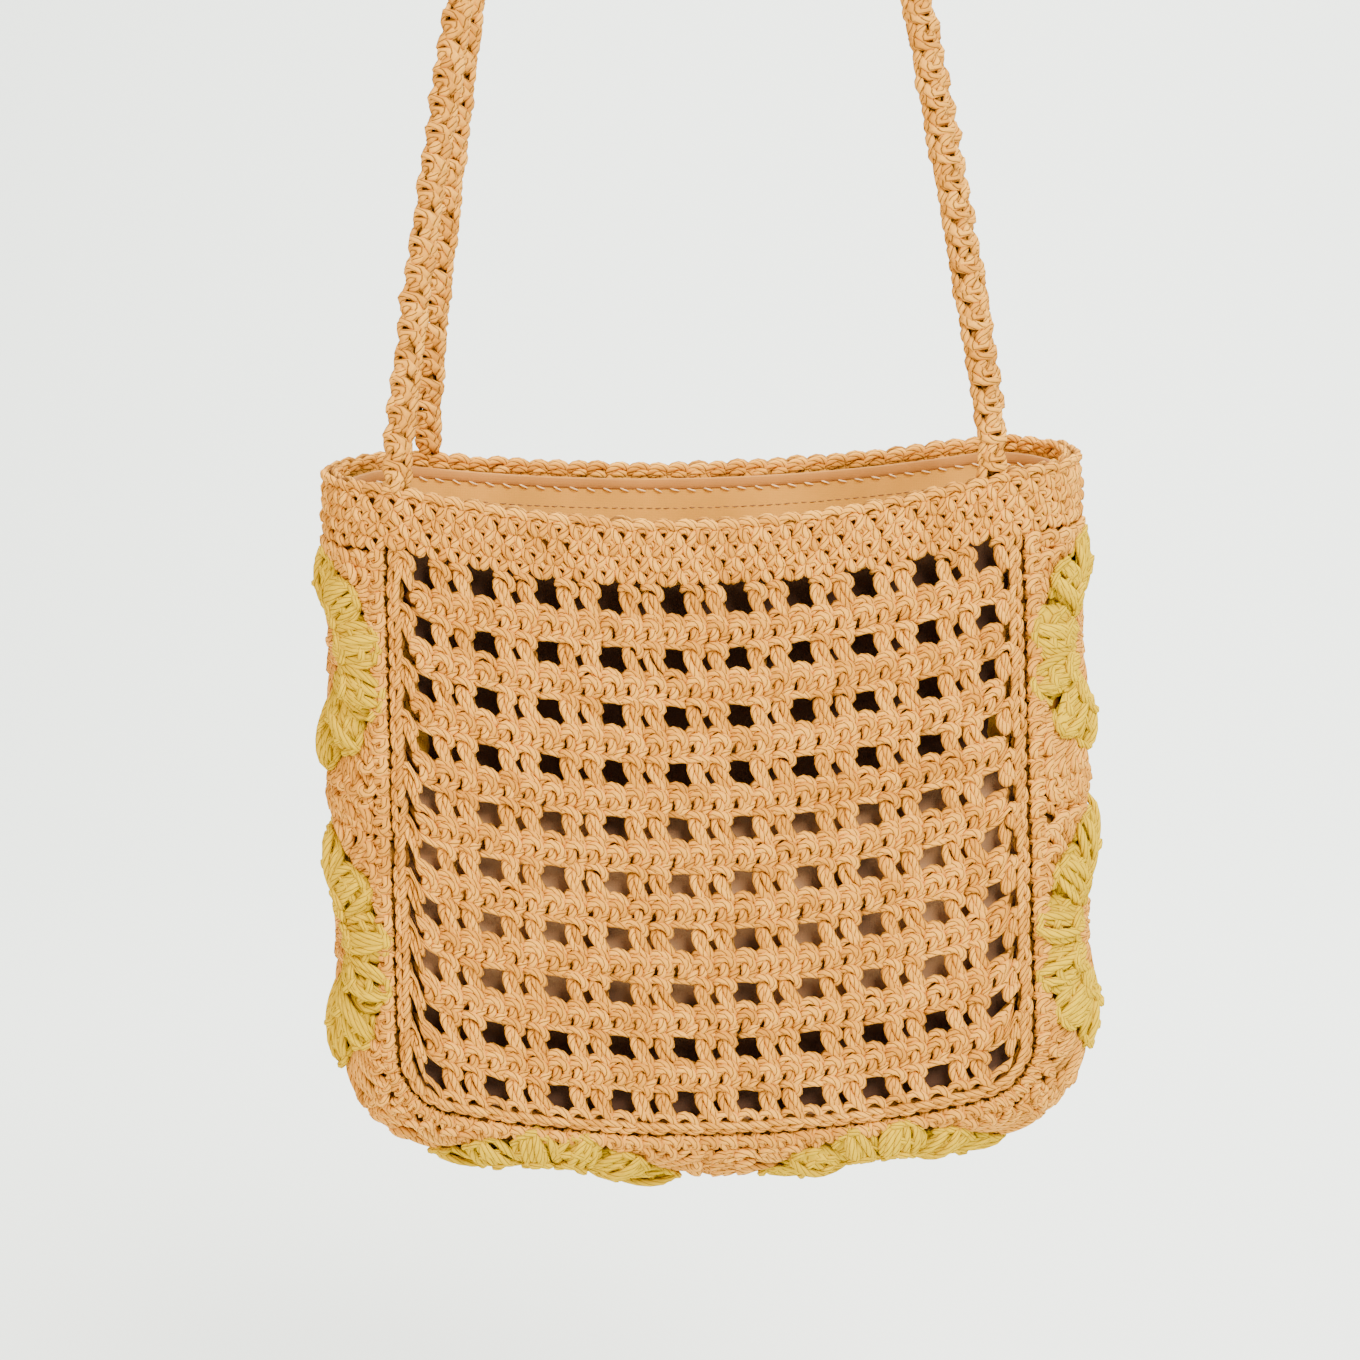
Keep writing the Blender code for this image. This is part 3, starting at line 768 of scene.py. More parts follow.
add_strand("link_outer", [(-3.9, -0.5, 0.2), (-2.0, -1.6, 1.2), (0.6, -1.4, 1.7), (2.9, -0.2, 1.5), (4.3, 0.6, 0.3)], radius=1.35)
add_strand("link_inner", [(-3.9, 0.3, 0.2), (-2.0, 1.5, 1.2), (0.6, 1.5, 1.7), (2.9, 0.4, 1.5), (4.3, -0.4, 0.3)], radius=1.35)
add_strand("link_core", [(-3.2, 0, -0.6), (3.2, 0, -0.6)], radius=2.2, flatness=0.5, step=9)
STITCHES["link"] = ["link_outer", "link_inner", "link_core"]


def seam_spots(tuck, inset, side_steps, low_steps):
    """Spots round a face's edge, down the left side, along the bottom and up the right side."""
    sides = [step / side_steps for step in range(side_steps)]
    turns = [math.pi * step / low_steps for step in range(low_steps + 1)]
    left = [face_spot("front", -1, down, tuck, inset) for down in sides]
    low = [face_spot("front", -math.cos(turn), 1, tuck, inset) for turn in turns]
    right = [face_spot("front", 1, down, tuck, inset) for down in reversed(sides)]
    return [Vector(spot) for spot in left + low + right]


def outward_at(spots, at):
    """Direction square to a line of spots, away from the bag's middle."""
    along = (spots[min(at + 1, len(spots) - 1)] - spots[max(at - 1, 0)]).normalized()
    return Vector((along.y, -along.x))


seam = seam_spots(RIM_BAND_HEIGHT, 0, side_steps=48, low_steps=160)
seam_outward = [outward_at(seam, at) for at in range(len(seam))]
seam_outward[0] = Vector((-1, 0))
seam_outward[-1] = Vector((1, 0))
seam_path = Path(seam)
seam_margin = 0.004


def join_guide(side):
    """Guide along a seam, tilted halfway between the face and the gusset."""
    forward = Vector((0, SIDE[side], 0))

    def place(x, y):
        distance = -SIDE[side] * x
        before, share = seam_path.share(distance)
        spot = seam[before].lerp(seam[before + 1], share)
        out = seam_outward[before].lerp(seam_outward[before + 1], share).normalized()
        over = distance - min(max(distance, 0), seam_path.length)
        inward = Vector((-out.x, 0, -out.y)) * math.cos(SEAM_TILT) + forward * math.sin(SEAM_TILT)
        up = abs(over)
        return hung(spot.x, SIDE[side] * BAG_DEPTH / 2, spot.y + up) + inward * y

    ends = sorted((-SIDE[side] * -seam_margin, -SIDE[side] * (seam_path.length + seam_margin)))
    return guide_sheet(side + "_join_guide", (ends[0], -0.005), (ends[1], 0.005), 0.0025, place)


for number, side in enumerate(("front", "back")):
    fabric = []
    count = round(seam_path.length / LINK_STEP)
    for link_number in range(count):
        distance = (link_number + 0.5) * seam_path.length / count
        work(fabric, "link", -SIDE[side] * distance, 0)
    ridge = crochet(side + "_join_crochet", join_guide(side), fabric, tan_yarn, seed=4 + number)
    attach(ridge, "root")
    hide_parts(side + "_join")


# Gusset squares: six squares in tan cotton, worked outwards from a round eye and bent round the side of
# the bag. Clusters fan out past the flower to the corners, inside a border of single crochet.
SQUARES = [
    {"name": "left_upper", "start": 0.000, "end": 0.138, "centre": 0.46, "reach": 0.44},
    {"name": "left_lower", "start": 0.138, "end": 0.314, "centre": 0.45, "reach": 0.38},
    {"name": "bottom_left", "start": 0.314, "end": 0.500, "centre": 0.53, "reach": 0.37},
    {"name": "bottom_right", "start": 0.500, "end": 0.686, "centre": 0.47, "reach": 0.37},
    {"name": "right_lower", "start": 0.686, "end": 0.862, "centre": 0.55, "reach": 0.38},
    {"name": "right_upper", "start": 0.862, "end": 1.000, "centre": 0.54, "reach": 0.44},
]
FLOWER_HALF_ACROSS = 0.041
FLOWER_EYE = 0.017
PETALS = 12
SQUARE_HALF_WIDTH = ARC_RADIUS * ARC_HALF_ANGLE - SEAM_CLEARANCE
RAY_LENGTHS = (6, 10, 16, 24)
RAYS = 60

for length in RAY_LENGTHS:
    add_strand(
        f"ray_{length}_left",
        [(-0.9, 0, 0.2), (-1.5, 0.25 * length, 1.4), (-0.8, 0.6 * length, 1.7), (-1.5, 0.85 * length, 1.5), (-1.2, length, 0.3)],
        step=2.6,
    )
    add_strand(
        f"ray_{length}_right",
        [(0.9, 0, 0.1), (0.9, 0.25 * length, 1.3), (1.6, 0.6 * length, 1.5), (1.0, 0.85 * length, 1.6), (1.4, length, 0.3)],
        step=2.6,
    )
    STITCHES[f"ray_{length}"] = [f"ray_{length}_left", f"ray_{length}_right"]
STITCHES["cap"] = ["cap"]
STITCHES["v_head"] = ["v_left", "v_right", "cap"]


class Gusset:
    """The strip round the bag's sides and bottom, measured along its middle."""

    def __init__(self):
        middles = [spot + out * GUSSET_BULGE for spot, out in zip(seam, seam_outward)]
        self.path = Path(middles)
        self.length = self.path.length

    def place(self, x, y):
        """The bag's point under a flat spot: x across, y up from the left end of the rim band."""
        distance = -y
        before, share = self.path.share(distance)
        spot = seam[before].lerp(seam[before + 1], share)
        out = seam_outward[before].lerp(seam_outward[before + 1], share).normalized()
        up = abs(distance - min(max(distance, 0), self.length))
        angle = -x / ARC_RADIUS
        stands_out = ARC_RADIUS * math.cos(angle) - (ARC_RADIUS - GUSSET_BULGE)
        return hung(
            spot.x + out.x * stands_out,
            ARC_RADIUS * math.sin(angle),
            spot.y + out.y * stands_out + up,
        )


gusset = Gusset()
gusset_margin = 0.006
gusset_guide = guide_sheet(
    "gusset_guide",
    (-SQUARE_HALF_WIDTH - gusset_margin, -gusset.length - gusset_margin),
    (SQUARE_HALF_WIDTH + gusset_margin, gusset_margin),
    0.003,
    gusset.place,
)


def flower_radius(square, angle):
    """Reach of a square's flower from its centre in one direction."""
    half_along = square["reach"] * (square["end"] - square["start"]) * gusset.length
    return 1 / math.hypot(math.cos(angle) / FLOWER_HALF_ACROSS, math.sin(angle) / half_along)


def flower_centre(square):
    share = square["start"] + square["centre"] * (square["end"] - square["start"])
    return -share * gusset.length


def work_square(square):
    fabric = []
    top = -square["start"] * gusset.length
    low = -square["end"] * gusset.length
    centre = flower_centre(square)
    border = 0.0036
    half = SQUARE_HALF_WIDTH

    # Backing that closes the gaps between the loops; it lies deep, so the yarn's painted shade makes it dark
    columns, rows = 12, round((top - low) / 0.0084)
    for column in range(columns):
        for row in range(rows):
            x = ((column + 0.5) / columns * 2 - 1) * (half - 0.001)
            y = top + (low - top) * (row + 0.5) / rows
            if math.hypot(x, y - centre) > 0.005:
                work(fabric, "row_core", x, y)

    # Border along the two seams, and along the two squares' edges
    count = round((top - low) / STITCH_WIDTH)
    for number in range(count):
        y = top + (low - top) * (number + 0.5) / count
        work(fabric, "v_head", half - border, y, turn=-math.pi / 2)
        work(fabric, "v_head", -half + border, y, turn=math.pi / 2)
    count = round((2 * half - 4 * border) / STITCH_WIDTH)
    for number in range(count):
        x = ((number + 0.5) / count * 2 - 1) * (half - 2 * border)
        work(fabric, "v_head", x, top - border, turn=0)
        work(fabric, "v_head", x, low + border, turn=math.pi)
        if low > -gusset.length + 0.001:
            work(fabric, "cap", x, low, lift=0.0005)

    # Clusters from under the petals out to the border
    for number in range(RAYS):
        angle = 2 * math.pi * (number + 0.5) / RAYS
        way = Vector((math.cos(angle), math.sin(angle)))
        edge_y = top - 2 * border - centre if way.y > 0 else centre - low - 2 * border
        reach = min((half - 2 * border) / abs(way.x), edge_y / abs(way.y)) + 0.002
        start = flower_radius(square, angle) - 0.004
        length = reach - start
        if length < 0.003:
            continue
        ray = min(RAY_LENGTHS, key=lambda nominal: abs(nominal - length / MM))
        stretch = length / (ray * MM)
        spot = way * start
        work(fabric, f"ray_{ray}", spot.x, centre + spot.y, turn=angle - math.pi / 2, size=(1, stretch, 1))
        if length > 0.009:
            spot = way * (reach - 0.004)
            work(fabric, "cap", spot.x, centre + spot.y, turn=angle - math.pi / 2, lift=0.0006)

    # The eye: a round of posts, and a round of twice as many outside it
    for count, start, end, ray in ((PETALS, 0.0014, 0.0085, 6), (2 * PETALS, 0.0072, FLOWER_EYE + 0.002, 10)):
        for number in range(count):
            angle = 2 * math.pi * (number + 0.5) / count
            work(
                fabric,
                f"ray_{ray}",
                math.cos(angle) * start,
                centre + math.sin(angle) * start,
                turn=angle - math.pi / 2,
                size=(0.8, (end - start) / (ray * MM), 1),
            )
    return fabric


for number, square in enumerate(SQUARES):
    name = "square_" + square["name"]
    piece = crochet(name + "_crochet", gusset_guide, work_square(square), tan_yarn, seed=10 + number)
    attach(piece, "root")
    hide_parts(name)


# Flowers: a ring of twelve puffs in bright yellow cotton on each square. Each puff is a bundle of long
# loops drawn together at both ends, and the yarn is softer and hairier than the tan one.
PETAL_NOMINAL = 24
PETAL_ROOM = 0.0185
PETAL_KNOTS = 4
PETAL_KNOT_ROWS = (0.97, 0.82, 0.66)
PETAL_STRANDS = 9
PETAL_PROFILE = [
    {"out": -1.0, "half": 3.2, "lift": 1.4},
    {"out": 3.5, "half": 5.0, "lift": 3.6},
    {"out": 9.0, "half": 6.6, "lift": 5.1},
    {"out": 15.0, "half": 7.3, "lift": 5.5},
    {"out": 20.0, "half": 6.6, "lift": 4.6},
    {"out": 23.6, "half": 3.8, "lift": 2.0},
]

for number in range(PETAL_STRANDS):
    aside = 2 * number / (PETAL_STRANDS - 1) - 1
    add_strand(
        f"petal_{number}",
        [
            (aside * station["half"], station["out"] - 3.2 * aside**2, station["lift"] - 4.0 * aside**2)
            for station in PETAL_PROFILE
        ],
        radius=1.45,
        step=3.6,
    )
add_strand(
    "petal_knot", [(-2.8, -1.4, 2.2), (-1.5, 0.4, 4.0), (0.6, 0.8, 4.3), (2.6, -1.0, 2.5)], radius=1.35, step=2.4
)
add_strand("petal_core", [(0, -0.5, 1.2), (0, 10.0, 2.2), (0, 21.0, 1.5)], radius=7.5, flatness=0.2, step=7)
STITCHES["petal_knot"] = ["petal_knot"]
STITCHES["petal_core"] = ["petal_core"]
for number in range(PETAL_STRANDS):
    STITCHES[f"petal_{number}"] = [f"petal_{number}"]

yellow_yarn = make_yarn(
    "yellow_cotton_yarn",
    {
        "deep": (0.50, 0.300, 0.0),
        "middle": (0.60, 0.372, 0.0),
        "light": (0.68, 0.428, 0.0),
        # painted shade for ply grooves and deep yarn
        "crease_shade": (0.25, 0.120, 0.0),
    },
    plies=5.0,
    lead=0.020,
    fibre=0.9,
    shine=0.02,
    top=0.0048,
)

for number, square in enumerate(SQUARES):
    fabric = []
    for petal in range(PETALS):
        angle = 2 * math.pi * (petal + 0.5) / PETALS
        reach = flower_radius(square, angle)
        stretch = (reach - FLOWER_EYE) / (PETAL_NOMINAL * MM)
        spread = 2 * math.pi * reach / PETALS / PETAL_ROOM
        spot = Vector((math.cos(angle), math.sin(angle))) * FLOWER_EYE
        for strand in (*range(PETAL_STRANDS), "core"):
            work(
                fabric,
                f"petal_{strand}",
                spot.x,
                flower_centre(square) + spot.y,
                turn=angle - math.pi / 2,
                size=(spread, stretch, 1),
            )
        for row, share in enumerate(PETAL_KNOT_ROWS):
            for knot in range(PETAL_KNOTS):
                aside = 2 * (knot + 0.5 + 0.25 * (-1) ** row) / PETAL_KNOTS - 1
                knot_angle = angle + aside * math.pi / PETALS * 0.78
                out = reach * (share - 0.11 * aside**2)
                work(
                    fabric,
                    "petal_knot",
                    math.cos(knot_angle) * out,
                    flower_centre(square) + math.sin(knot_angle) * out,
                    turn=knot_angle - math.pi / 2 + aside * 0.5,
                    lift=0.0012 * row - 0.0024 * aside**2,
                )
    name = "flower_" + square["name"]
    piece = crochet(
        name + "_crochet", gusset_guide, fabric, yellow_yarn, seed=20 + number, wobble=0.0008, turn_wobble=0.1
    )
    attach(piece, "root")
    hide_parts(name)


# Straps: two knobby crocheted cords in tan cotton, each from the left of the rim to the right. They lie
# side by side over the shoulder and turn to face forward on their way down, to a stitched foot.
STRAP_WIDTH = 0.011
STRAP_THICKNESS = 0.007
STRAP_FOOT_X = 0.101
ARCH_RADIUS = 0.058
STRAP_BOW = 0.003
STRAP_BOW_AT = 0.28
STRAP_TWIST = 0.40
STRAP_EASE = 1.5
KNOB_STEP = 0.0096
FOOT_SHIFT = {"front": -0.0024, "back": 0.0038}
STRAP_GUIDE_WIDTH = 0.0050
STRAP_GUIDE_THICKNESS = 0.0034

KNOB_STRANDS = {
    "knob_arch": [
        (-3.3, -3.0, 0.2), (-3.8, 0.2, 1.5), (-2.3, 3.2, 2.0), (0.3, 2.7, 1.9), (2.0, 0.3, 1.4), (3.2, -3.0, 0.3)
    ],
    "knob_band": [(-2.0, -3.4, 0.3), (-1.7, -0.5, 1.5), (-0.2, 0.6, 1.9), (1.0, -1.6, 1.5), (1.9, -4.8, 0.2)],
    "knob_fill": [(-1.0, -6.0, 0.3), (-0.5, -4.0, 1.3), (0.1, -2.0, 1.4)],
    "knob_side": [(3.0, 4.4, 0.2), (3.6, 2.4, 1.3), (3.9, 0.0, 1.8), (3.6, -2.4, 1.3), (3.2, -4.6, 0.2)],
}
for name, spots in KNOB_STRANDS.items():
    add_strand(name, spots, radius=1.4)
add_strand("strap_core", [(0, -5.2, -0.6), (0, 5.2, -0.6)], radius=3.0, flatness=0.5, step=9)
STITCHES["knob"] = [*KNOB_STRANDS, "strap_core"]


def strap_section(side, share):
    """Centre, width and thickness directions of a strap; share runs from -1 to 1, foot to foot."""
    centre_radius = ARCH_RADIUS + STRAP_THICKNESS / 2
    foot_z = hung(STRAP_FOOT_X, face_y(side, STRAP_FOOT_X, RIM_Z), RIM_Z - rim_sag(side, STRAP_FOOT_X)).z
    reach = Vector((STRAP_FOOT_X, foot_z + GAP + ARCH_RADIUS))
    leave = math.atan2(reach.x, reach.y) - math.acos(centre_radius / reach.length)
    leg = math.sqrt(reach.length**2 - centre_radius**2)
    walked = abs(share) * (leg + centre_radius * leave)
    turn = min(walked / centre_radius, leave)
    down_leg = max(walked - centre_radius * leave, 0)
    spread = min(down_leg / leg, 1)
    bend = math.log(0.5) / math.log(STRAP_BOW_AT)
    bow = STRAP_BOW * math.sin(math.pi * (1 - spread) ** bend)
    x = centre_radius * math.sin(turn) + down_leg * math.cos(leave) + bow
    z = -ARCH_RADIUS + centre_radius * math.cos(turn) - down_leg * math.sin(leave)
    top_y = SIDE[side] * (STRAP_WIDTH + GAP) / 2
    foot_y = face_y(side, STRAP_FOOT_X, RIM_Z)
    y = top_y + (foot_y - top_y) * spread**STRAP_EASE
    turned = min(spread / STRAP_TWIST, 1)
    twist = math.pi / 2 * turned**2 * (3 - 2 * turned)
    outward = Vector((math.sin(turn), 0, math.cos(turn)))
    along_y = Vector((0, 1, 0))
    wide = along_y * math.cos(twist) + outward * math.sin(twist)
    thick = outward * math.cos(twist) - along_y * math.sin(twist)
    mirror = Vector((1 if share >= 0 else -1, 1, 1))
    return Vector((x, y, z)) * mirror, wide * mirror, thick * mirror


def share_down(spot):
    """How far down from the arch to the rim a point of a strap lies."""
    return -spot.z / STRAP_DROP


strap_circumference = math.pi * (STRAP_GUIDE_WIDTH + STRAP_GUIDE_THICKNESS) / 2


def strap_guide(side):
    """Guide round a strap: x round it from the middle of its front, y along it from its left foot."""
    centres = Path([strap_section(side, step / 100 - 1)[0] for step in range(201)])

    def place(x, y):
        centre, wide, thick = strap_section(side, 2 * min(max(y / centres.length, 0), 1) - 1)
        angle = math.pi / 2 + 2 * math.pi * x / strap_circumference
        over = abs(y - min(max(y, 0), centres.length))
        centre = centre + Vector((FOOT_SHIFT[side], 0, 0)) * max(share_down(centre), 0)
        spot = centre + wide * math.cos(angle) * STRAP_GUIDE_WIDTH / 2
        return spot + thick * math.sin(angle) * STRAP_GUIDE_THICKNESS / 2 - Vector((0, 0, over))

    margin = 0.008
    guide = guide_sheet(
        side + "_strap_guide",
        (-strap_circumference, -margin),
        (strap_circumference, centres.length + margin),
        0.0014,
        place,
    )
    return guide, centres.length


def work_strap(length):
    fabric = []
    count = round(length / KNOB_STEP)
    pitch = length / count
    for number in range(count):
        y = (number + 0.5) * pitch
        work(fabric, "knob", 0, y)
        work(fabric, "knob", strap_circumference / 2, y + pitch / 2, turn=math.pi)
    return fabric


for number, side in enumerate(("front", "back")):
    guide, length = strap_guide(side)
    piece = crochet(side + "_strap_crochet", guide, work_strap(length), tan_yarn, seed=30 + number)
    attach(piece, "root")
    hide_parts(side + "_strap")


# Lining: a bag of plain-woven tan cotton inside the crochet, sewn in below the rim. Its folded hem is
# held by hand stitches, with a line of machine stitches under it.
LINING_THICKNESS = 0.0015
LINING_CLEARANCE = 0.0012
LINING_TUCK = 0.0046
WALL = 0.005
LINING_HOLLOWS = [
    {"down": 0.00, "depth": 0.00},
    {"down": 0.12, "depth": 0.13},
    {"down": 0.40, "depth": 0.17},
    {"down": 0.54, "depth": 0.03},
    {"down": 0.76, "depth": 0.03},
    {"down": 0.90, "depth": 0.12},
    {"down": 1.00, "depth": 0.00},
]


def lining_hollow(down):
    """Depth of the hollow behind the front face at a share of the way down, eased between rows."""
    for above, below in zip(LINING_HOLLOWS, LINING_HOLLOWS[1:]):
        if down <= below["down"]:
            share = (down - above["down"]) / (below["down"] - above["down"])
            eased = share * share * (3 - 2 * share)
            return (above["depth"] + (below["depth"] - above["depth"]) * eased) * BAG_DEPTH
    return 0


LINING_LIFT = -(WALL / 2 + LINING_CLEARANCE + LINING_THICKNESS / 2)
LINING_RADIUS = ARC_RADIUS + LINING_LIFT
LINING_INSET = -LINING_LIFT * math.cos(ARC_HALF_ANGLE)
LINING_EDGE_Y = LINING_RADIUS * math.sin(ARC_HALF_ANGLE)


def lining_face(side, across, down):
    """A point in the middle of the lining's front or back wall."""
    x, z = face_spot(side, across, down, LINING_TUCK, LINING_INSET)
    y = face_y(side, x, z) - SIDE[side] * (BAG_DEPTH / 2 - LINING_EDGE_Y)
    if side == "front":
        y += lining_hollow(down) * (1 - across**4)
    return hung(x, y, z)


def lining_side(spot, out, angle):
    """A point in the middle of the lining's wall behind the gusset."""
    stands_out = LINING_RADIUS * (math.cos(angle) - math.cos(ARC_HALF_ANGLE))
    x, z = spot + out * stands_out
    return hung(x, LINING_RADIUS * math.sin(angle), z)


def add_sheet(shell, columns, rows, place):
    """Adds a sheet of cloth to a shell: place(across, down) gives a corner, with both as shares."""
    grid = bmesh.ops.create_grid(shell, x_segments=columns, y_segments=rows, size=1.0)
    painted_shadow = shell.verts.layers.float["painted_shadow"]
    for corner in grid["verts"]:
        across, down = (corner.co.x + 1) / 2, (1 - corner.co.y) / 2
        corner.co = place(across, down)
        # Painted shadow on the front wall: it grows with the hollow behind the crochet and covers the lowest rows
        if place(0.5, 0.5).y < 0 and place(0.5, 0.0).y < 0:
            hollow = lining_hollow(down) / (0.13 * BAG_DEPTH)
            corner[painted_shadow] = 1 if down > 0.88 else min(max((hollow - 0.24) / 0.76, 0), 1)


def make_lining():
    columns, rows, strip_steps = 48, 56, 16
    spots = seam_spots(LINING_TUCK, LINING_INSET, side_steps=rows, low_steps=columns)

    def face_corner(side, across, down):
        return lining_face(side, -math.cos(math.pi * across), down)

    def strip_corner(across, down):
        at = round(down * (len(spots) - 1))
        return lining_side(spots[at], outward_at(spots, at), (2 * across - 1) * ARC_HALF_ANGLE)

    shell = bmesh.new()
    shell.verts.layers.float.new("painted_shadow")
    add_sheet(shell, columns, rows, lambda across, down: face_corner("front", across, down))
    add_sheet(shell, columns, rows, lambda across, down: face_corner("back", across, down))
    add_sheet(shell, strip_steps, len(spots) - 1, strip_corner)
    bmesh.ops.remove_doubles(shell, verts=shell.verts, dist=0.00002)
    bmesh.ops.recalc_face_normals(shell, faces=shell.faces)
    mesh = bpy.data.meshes.new("lining_cloth")
    shell.to_mesh(mesh)
    shell.free()
    mesh.shade_smooth()
    piece = bpy.data.objects.new("lining_cloth", mesh)
    bpy.context.scene.collection.objects.link(piece)
    wall = piece.modifiers.new("thickness", "SOLIDIFY")
    wall.thickness = LINING_THICKNESS
    wall.offset = 0
    return piece


def make_cloth():
    """Plain weave in tan cotton: fine threads over and under each other, with soft colour changes."""
    cloth = bpy.data.materials.new("lining_weave")
    cloth.use_nodes = True
    tree = cloth.node_tree
    link = tree.links.new
    surface = tree.nodes["Principled BSDF"]
    surface.inputs["Roughness"].default_value = 0.85
    surface.inputs["Specular IOR Level"].default_value = 0.2
    surface.inputs["Sheen Weight"].default_value = 0.1
    place = add_node(tree, "ShaderNodeTexCoord")
    weave = []
    for direction in ("X", "Z"):
        threads = add_node(tree, "ShaderNodeTexWave", bands_direction=direction)
        threads.inputs["Scale"].default_value = 520.0
        threads.inputs["Distortion"].default_value = 1.5
        threads.inputs["Detail"].default_value = 1.0
        link(place.outputs["Object"], threads.inputs["Vector"])
        weave.append(threads.outputs["Fac"])
    crossed = add_node(tree, "ShaderNodeMath", operation="MULTIPLY")
    link(weave[0], crossed.inputs[0])
    link(weave[1], crossed.inputs[1])
    patches = add_node(tree, "ShaderNodeTexNoise")
    patches.inputs["Scale"].default_value = 45.0
    patches.inputs["Detail"].default_value = 4.0
    link(place.outputs["Object"], patches.inputs["Vector"])
    ramp = add_node(tree, "ShaderNodeValToRGB")
    ramp.color_ramp.elements[0].position = 0.3
    ramp.color_ramp.elements[0].color = (0.50, 0.228, 0.020, 1)
    ramp.color_ramp.elements[1].position = 0.7
    ramp.color_ramp.elements[1].color = (0.62, 0.288, 0.030, 1)
    link(patches.outputs["Fac"], ramp.inputs["Fac"])
    # Painted shade on the outside, which lies in the crochet's shade: a duller tone, and a painted shadow that is
    # deepest where the front wall hangs back from the crochet, over its lowest rows and in noise patches for folds
    from_middle = add_node(tree, "ShaderNodeVectorMath", operation="MULTIPLY")
    link(place.outputs["Object"], from_middle.inputs[0])
    from_middle.inputs[1].default_value = (1, 1, 0)
    faces_out = add_node(tree, "ShaderNodeVectorMath", operation="DOT_PRODUCT")
    link(from_middle.outputs["Vector"], faces_out.inputs[0])
    link(place.outputs["Normal"], faces_out.inputs[1])
    outside = add_node(tree, "ShaderNodeMath", operation="GREATER_THAN")
    link(faces_out.outputs["Value"], outside.inputs[0])
    outside.inputs[1].default_value = 0.0
    outside_shade_tone = add_node(tree, "ShaderNodeMix", data_type="RGBA")
    link(outside.outputs["Value"], outside_shade_tone.inputs["Factor"])
    link(ramp.outputs["Color"], outside_shade_tone.inputs["A"])
    outside_shade_tone.inputs["B"].default_value = (0.50, 0.25, 0.105, 1)
    # Painted shade in folds, from a noise
    fold_shade_noise = add_node(tree, "ShaderNodeTexNoise")
    fold_shade_noise.inputs["Scale"].default_value = 34.0
    fold_shade_noise.inputs["Detail"].default_value = 1.0
    link(place.outputs["Object"], fold_shade_noise.inputs["Vector"])
    folded = add_node(tree, "ShaderNodeMapRange", interpolation_type="SMOOTHSTEP")
    link(fold_shade_noise.outputs["Fac"], folded.inputs["Value"])
    folded.inputs["From Min"].default_value = 0.48
    folded.inputs["From Max"].default_value = 0.66
    folded.inputs["To Max"].default_value = 0.85
    painted_shadow = add_node(tree, "ShaderNodeAttribute", attribute_name="painted_shadow")
    deepest_shade = add_node(tree, "ShaderNodeMath", operation="MAXIMUM")
    link(painted_shadow.outputs["Fac"], deepest_shade.inputs[0])
    link(folded.outputs["Result"], deepest_shade.inputs[1])
    shadow = add_node(tree, "ShaderNodeMath", operation="MULTIPLY")
    link(outside.outputs["Value"], shadow.inputs[0])
    link(deepest_shade.outputs["Value"], shadow.inputs[1])
    shaded = add_node(tree, "ShaderNodeMix", data_type="RGBA")
    link(shadow.outputs["Value"], shaded.inputs["Factor"])
    link(outside_shade_tone.outputs["Result"], shaded.inputs["A"])
    shaded.inputs["B"].default_value = (0.085, 0.036, 0.016, 1)
    link(shaded.outputs["Result"], surface.inputs["Base Color"])
    bump = add_node(tree, "ShaderNodeBump")
    bump.inputs["Strength"].default_value = 0.35
    bump.inputs["Distance"].default_value = 0.0002
    link(crossed.outputs["Value"], bump.inputs["Height"])
    link(bump.outputs["Normal"], surface.inputs["Normal"])
    return cloth


lining_cloth = make_cloth()
lining = make_lining()
lining.data.materials.append(lining_cloth)
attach(lining, "root")
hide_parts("lining")


# Hem: the lining's top edge is folded in, and the strip is a darker copy of the lining's weave, painted shade for
# the fold.
# Pale hand stitches hold it to the rim band, and a line of short dark machine stitches runs round the lining below
# it.
HEM_SECTION = [
    {"inward": -0.0004, "up": 0.0002},
    {"inward": 0.0009, "up": 0.0006},
    {"inward": 0.0014, "up": 0.0000},
    {"inward": 0.0015, "up": -0.0018},
    {"inward": 0.0014, "up": -0.0030},
    {"inward": 0.0008, "up": -0.0034},
    {"inward": -0.0004, "up": -0.0032},
]
HEM_STITCH_STEP = 0.0060
MACHINE_STITCH_STEP = 0.0031
MACHINE_STITCH_DROP = 0.0102

add_strand("hem_stitch", [(-1.5, 0.6, -0.2), (-0.6, 0.3, 0.35), (0.7, -0.2, 0.35), (1.5, -0.6, -0.2)], radius=0.34, sides=5, step=0.9)
add_strand("machine_stitch", [(-1.05, 0, -0.15), (0, 0, 0.1), (1.05, 0, -0.15)], radius=0.2, sides=4, step=1.0)
STITCHES["hem_stitch"] = ["hem_stitch"]
STITCHES["machine_stitch"] = ["machine_stitch"]


def lining_rim():
    """The lining's top edge: front from left to right, right side, back and left side."""
    straight_steps, arc_steps = 48, 20
    loop = []
    for side in ("front", "back"):
        hand = -SIDE[side]
        for step in range(straight_steps):
            loop.append(lining_face(side, hand * (2 * step / straight_steps - 1), 0))
        for step in range(arc_steps):
            angle = (2 * step / arc_steps - 1) * ARC_HALF_ANGLE
            spot = Vector(face_spot("front", hand, 0, LINING_TUCK, LINING_INSET))
            loop.append(lining_side(spot, Vector((hand, 0)), hand * angle))
    return Path(loop, closed=True)


lining_path = lining_rim()


def inside_lining(distance, inward, up):
    """A point inside the lining, at a distance round its top edge."""
    step = 0.003
    along = (lining_path.at(distance + step) - lining_path.at(distance - step)).normalized()
    return lining_path.at(distance) + Vector((-along.y, along.x, 0)).normalized() * inward + Vector((0, 0, up))


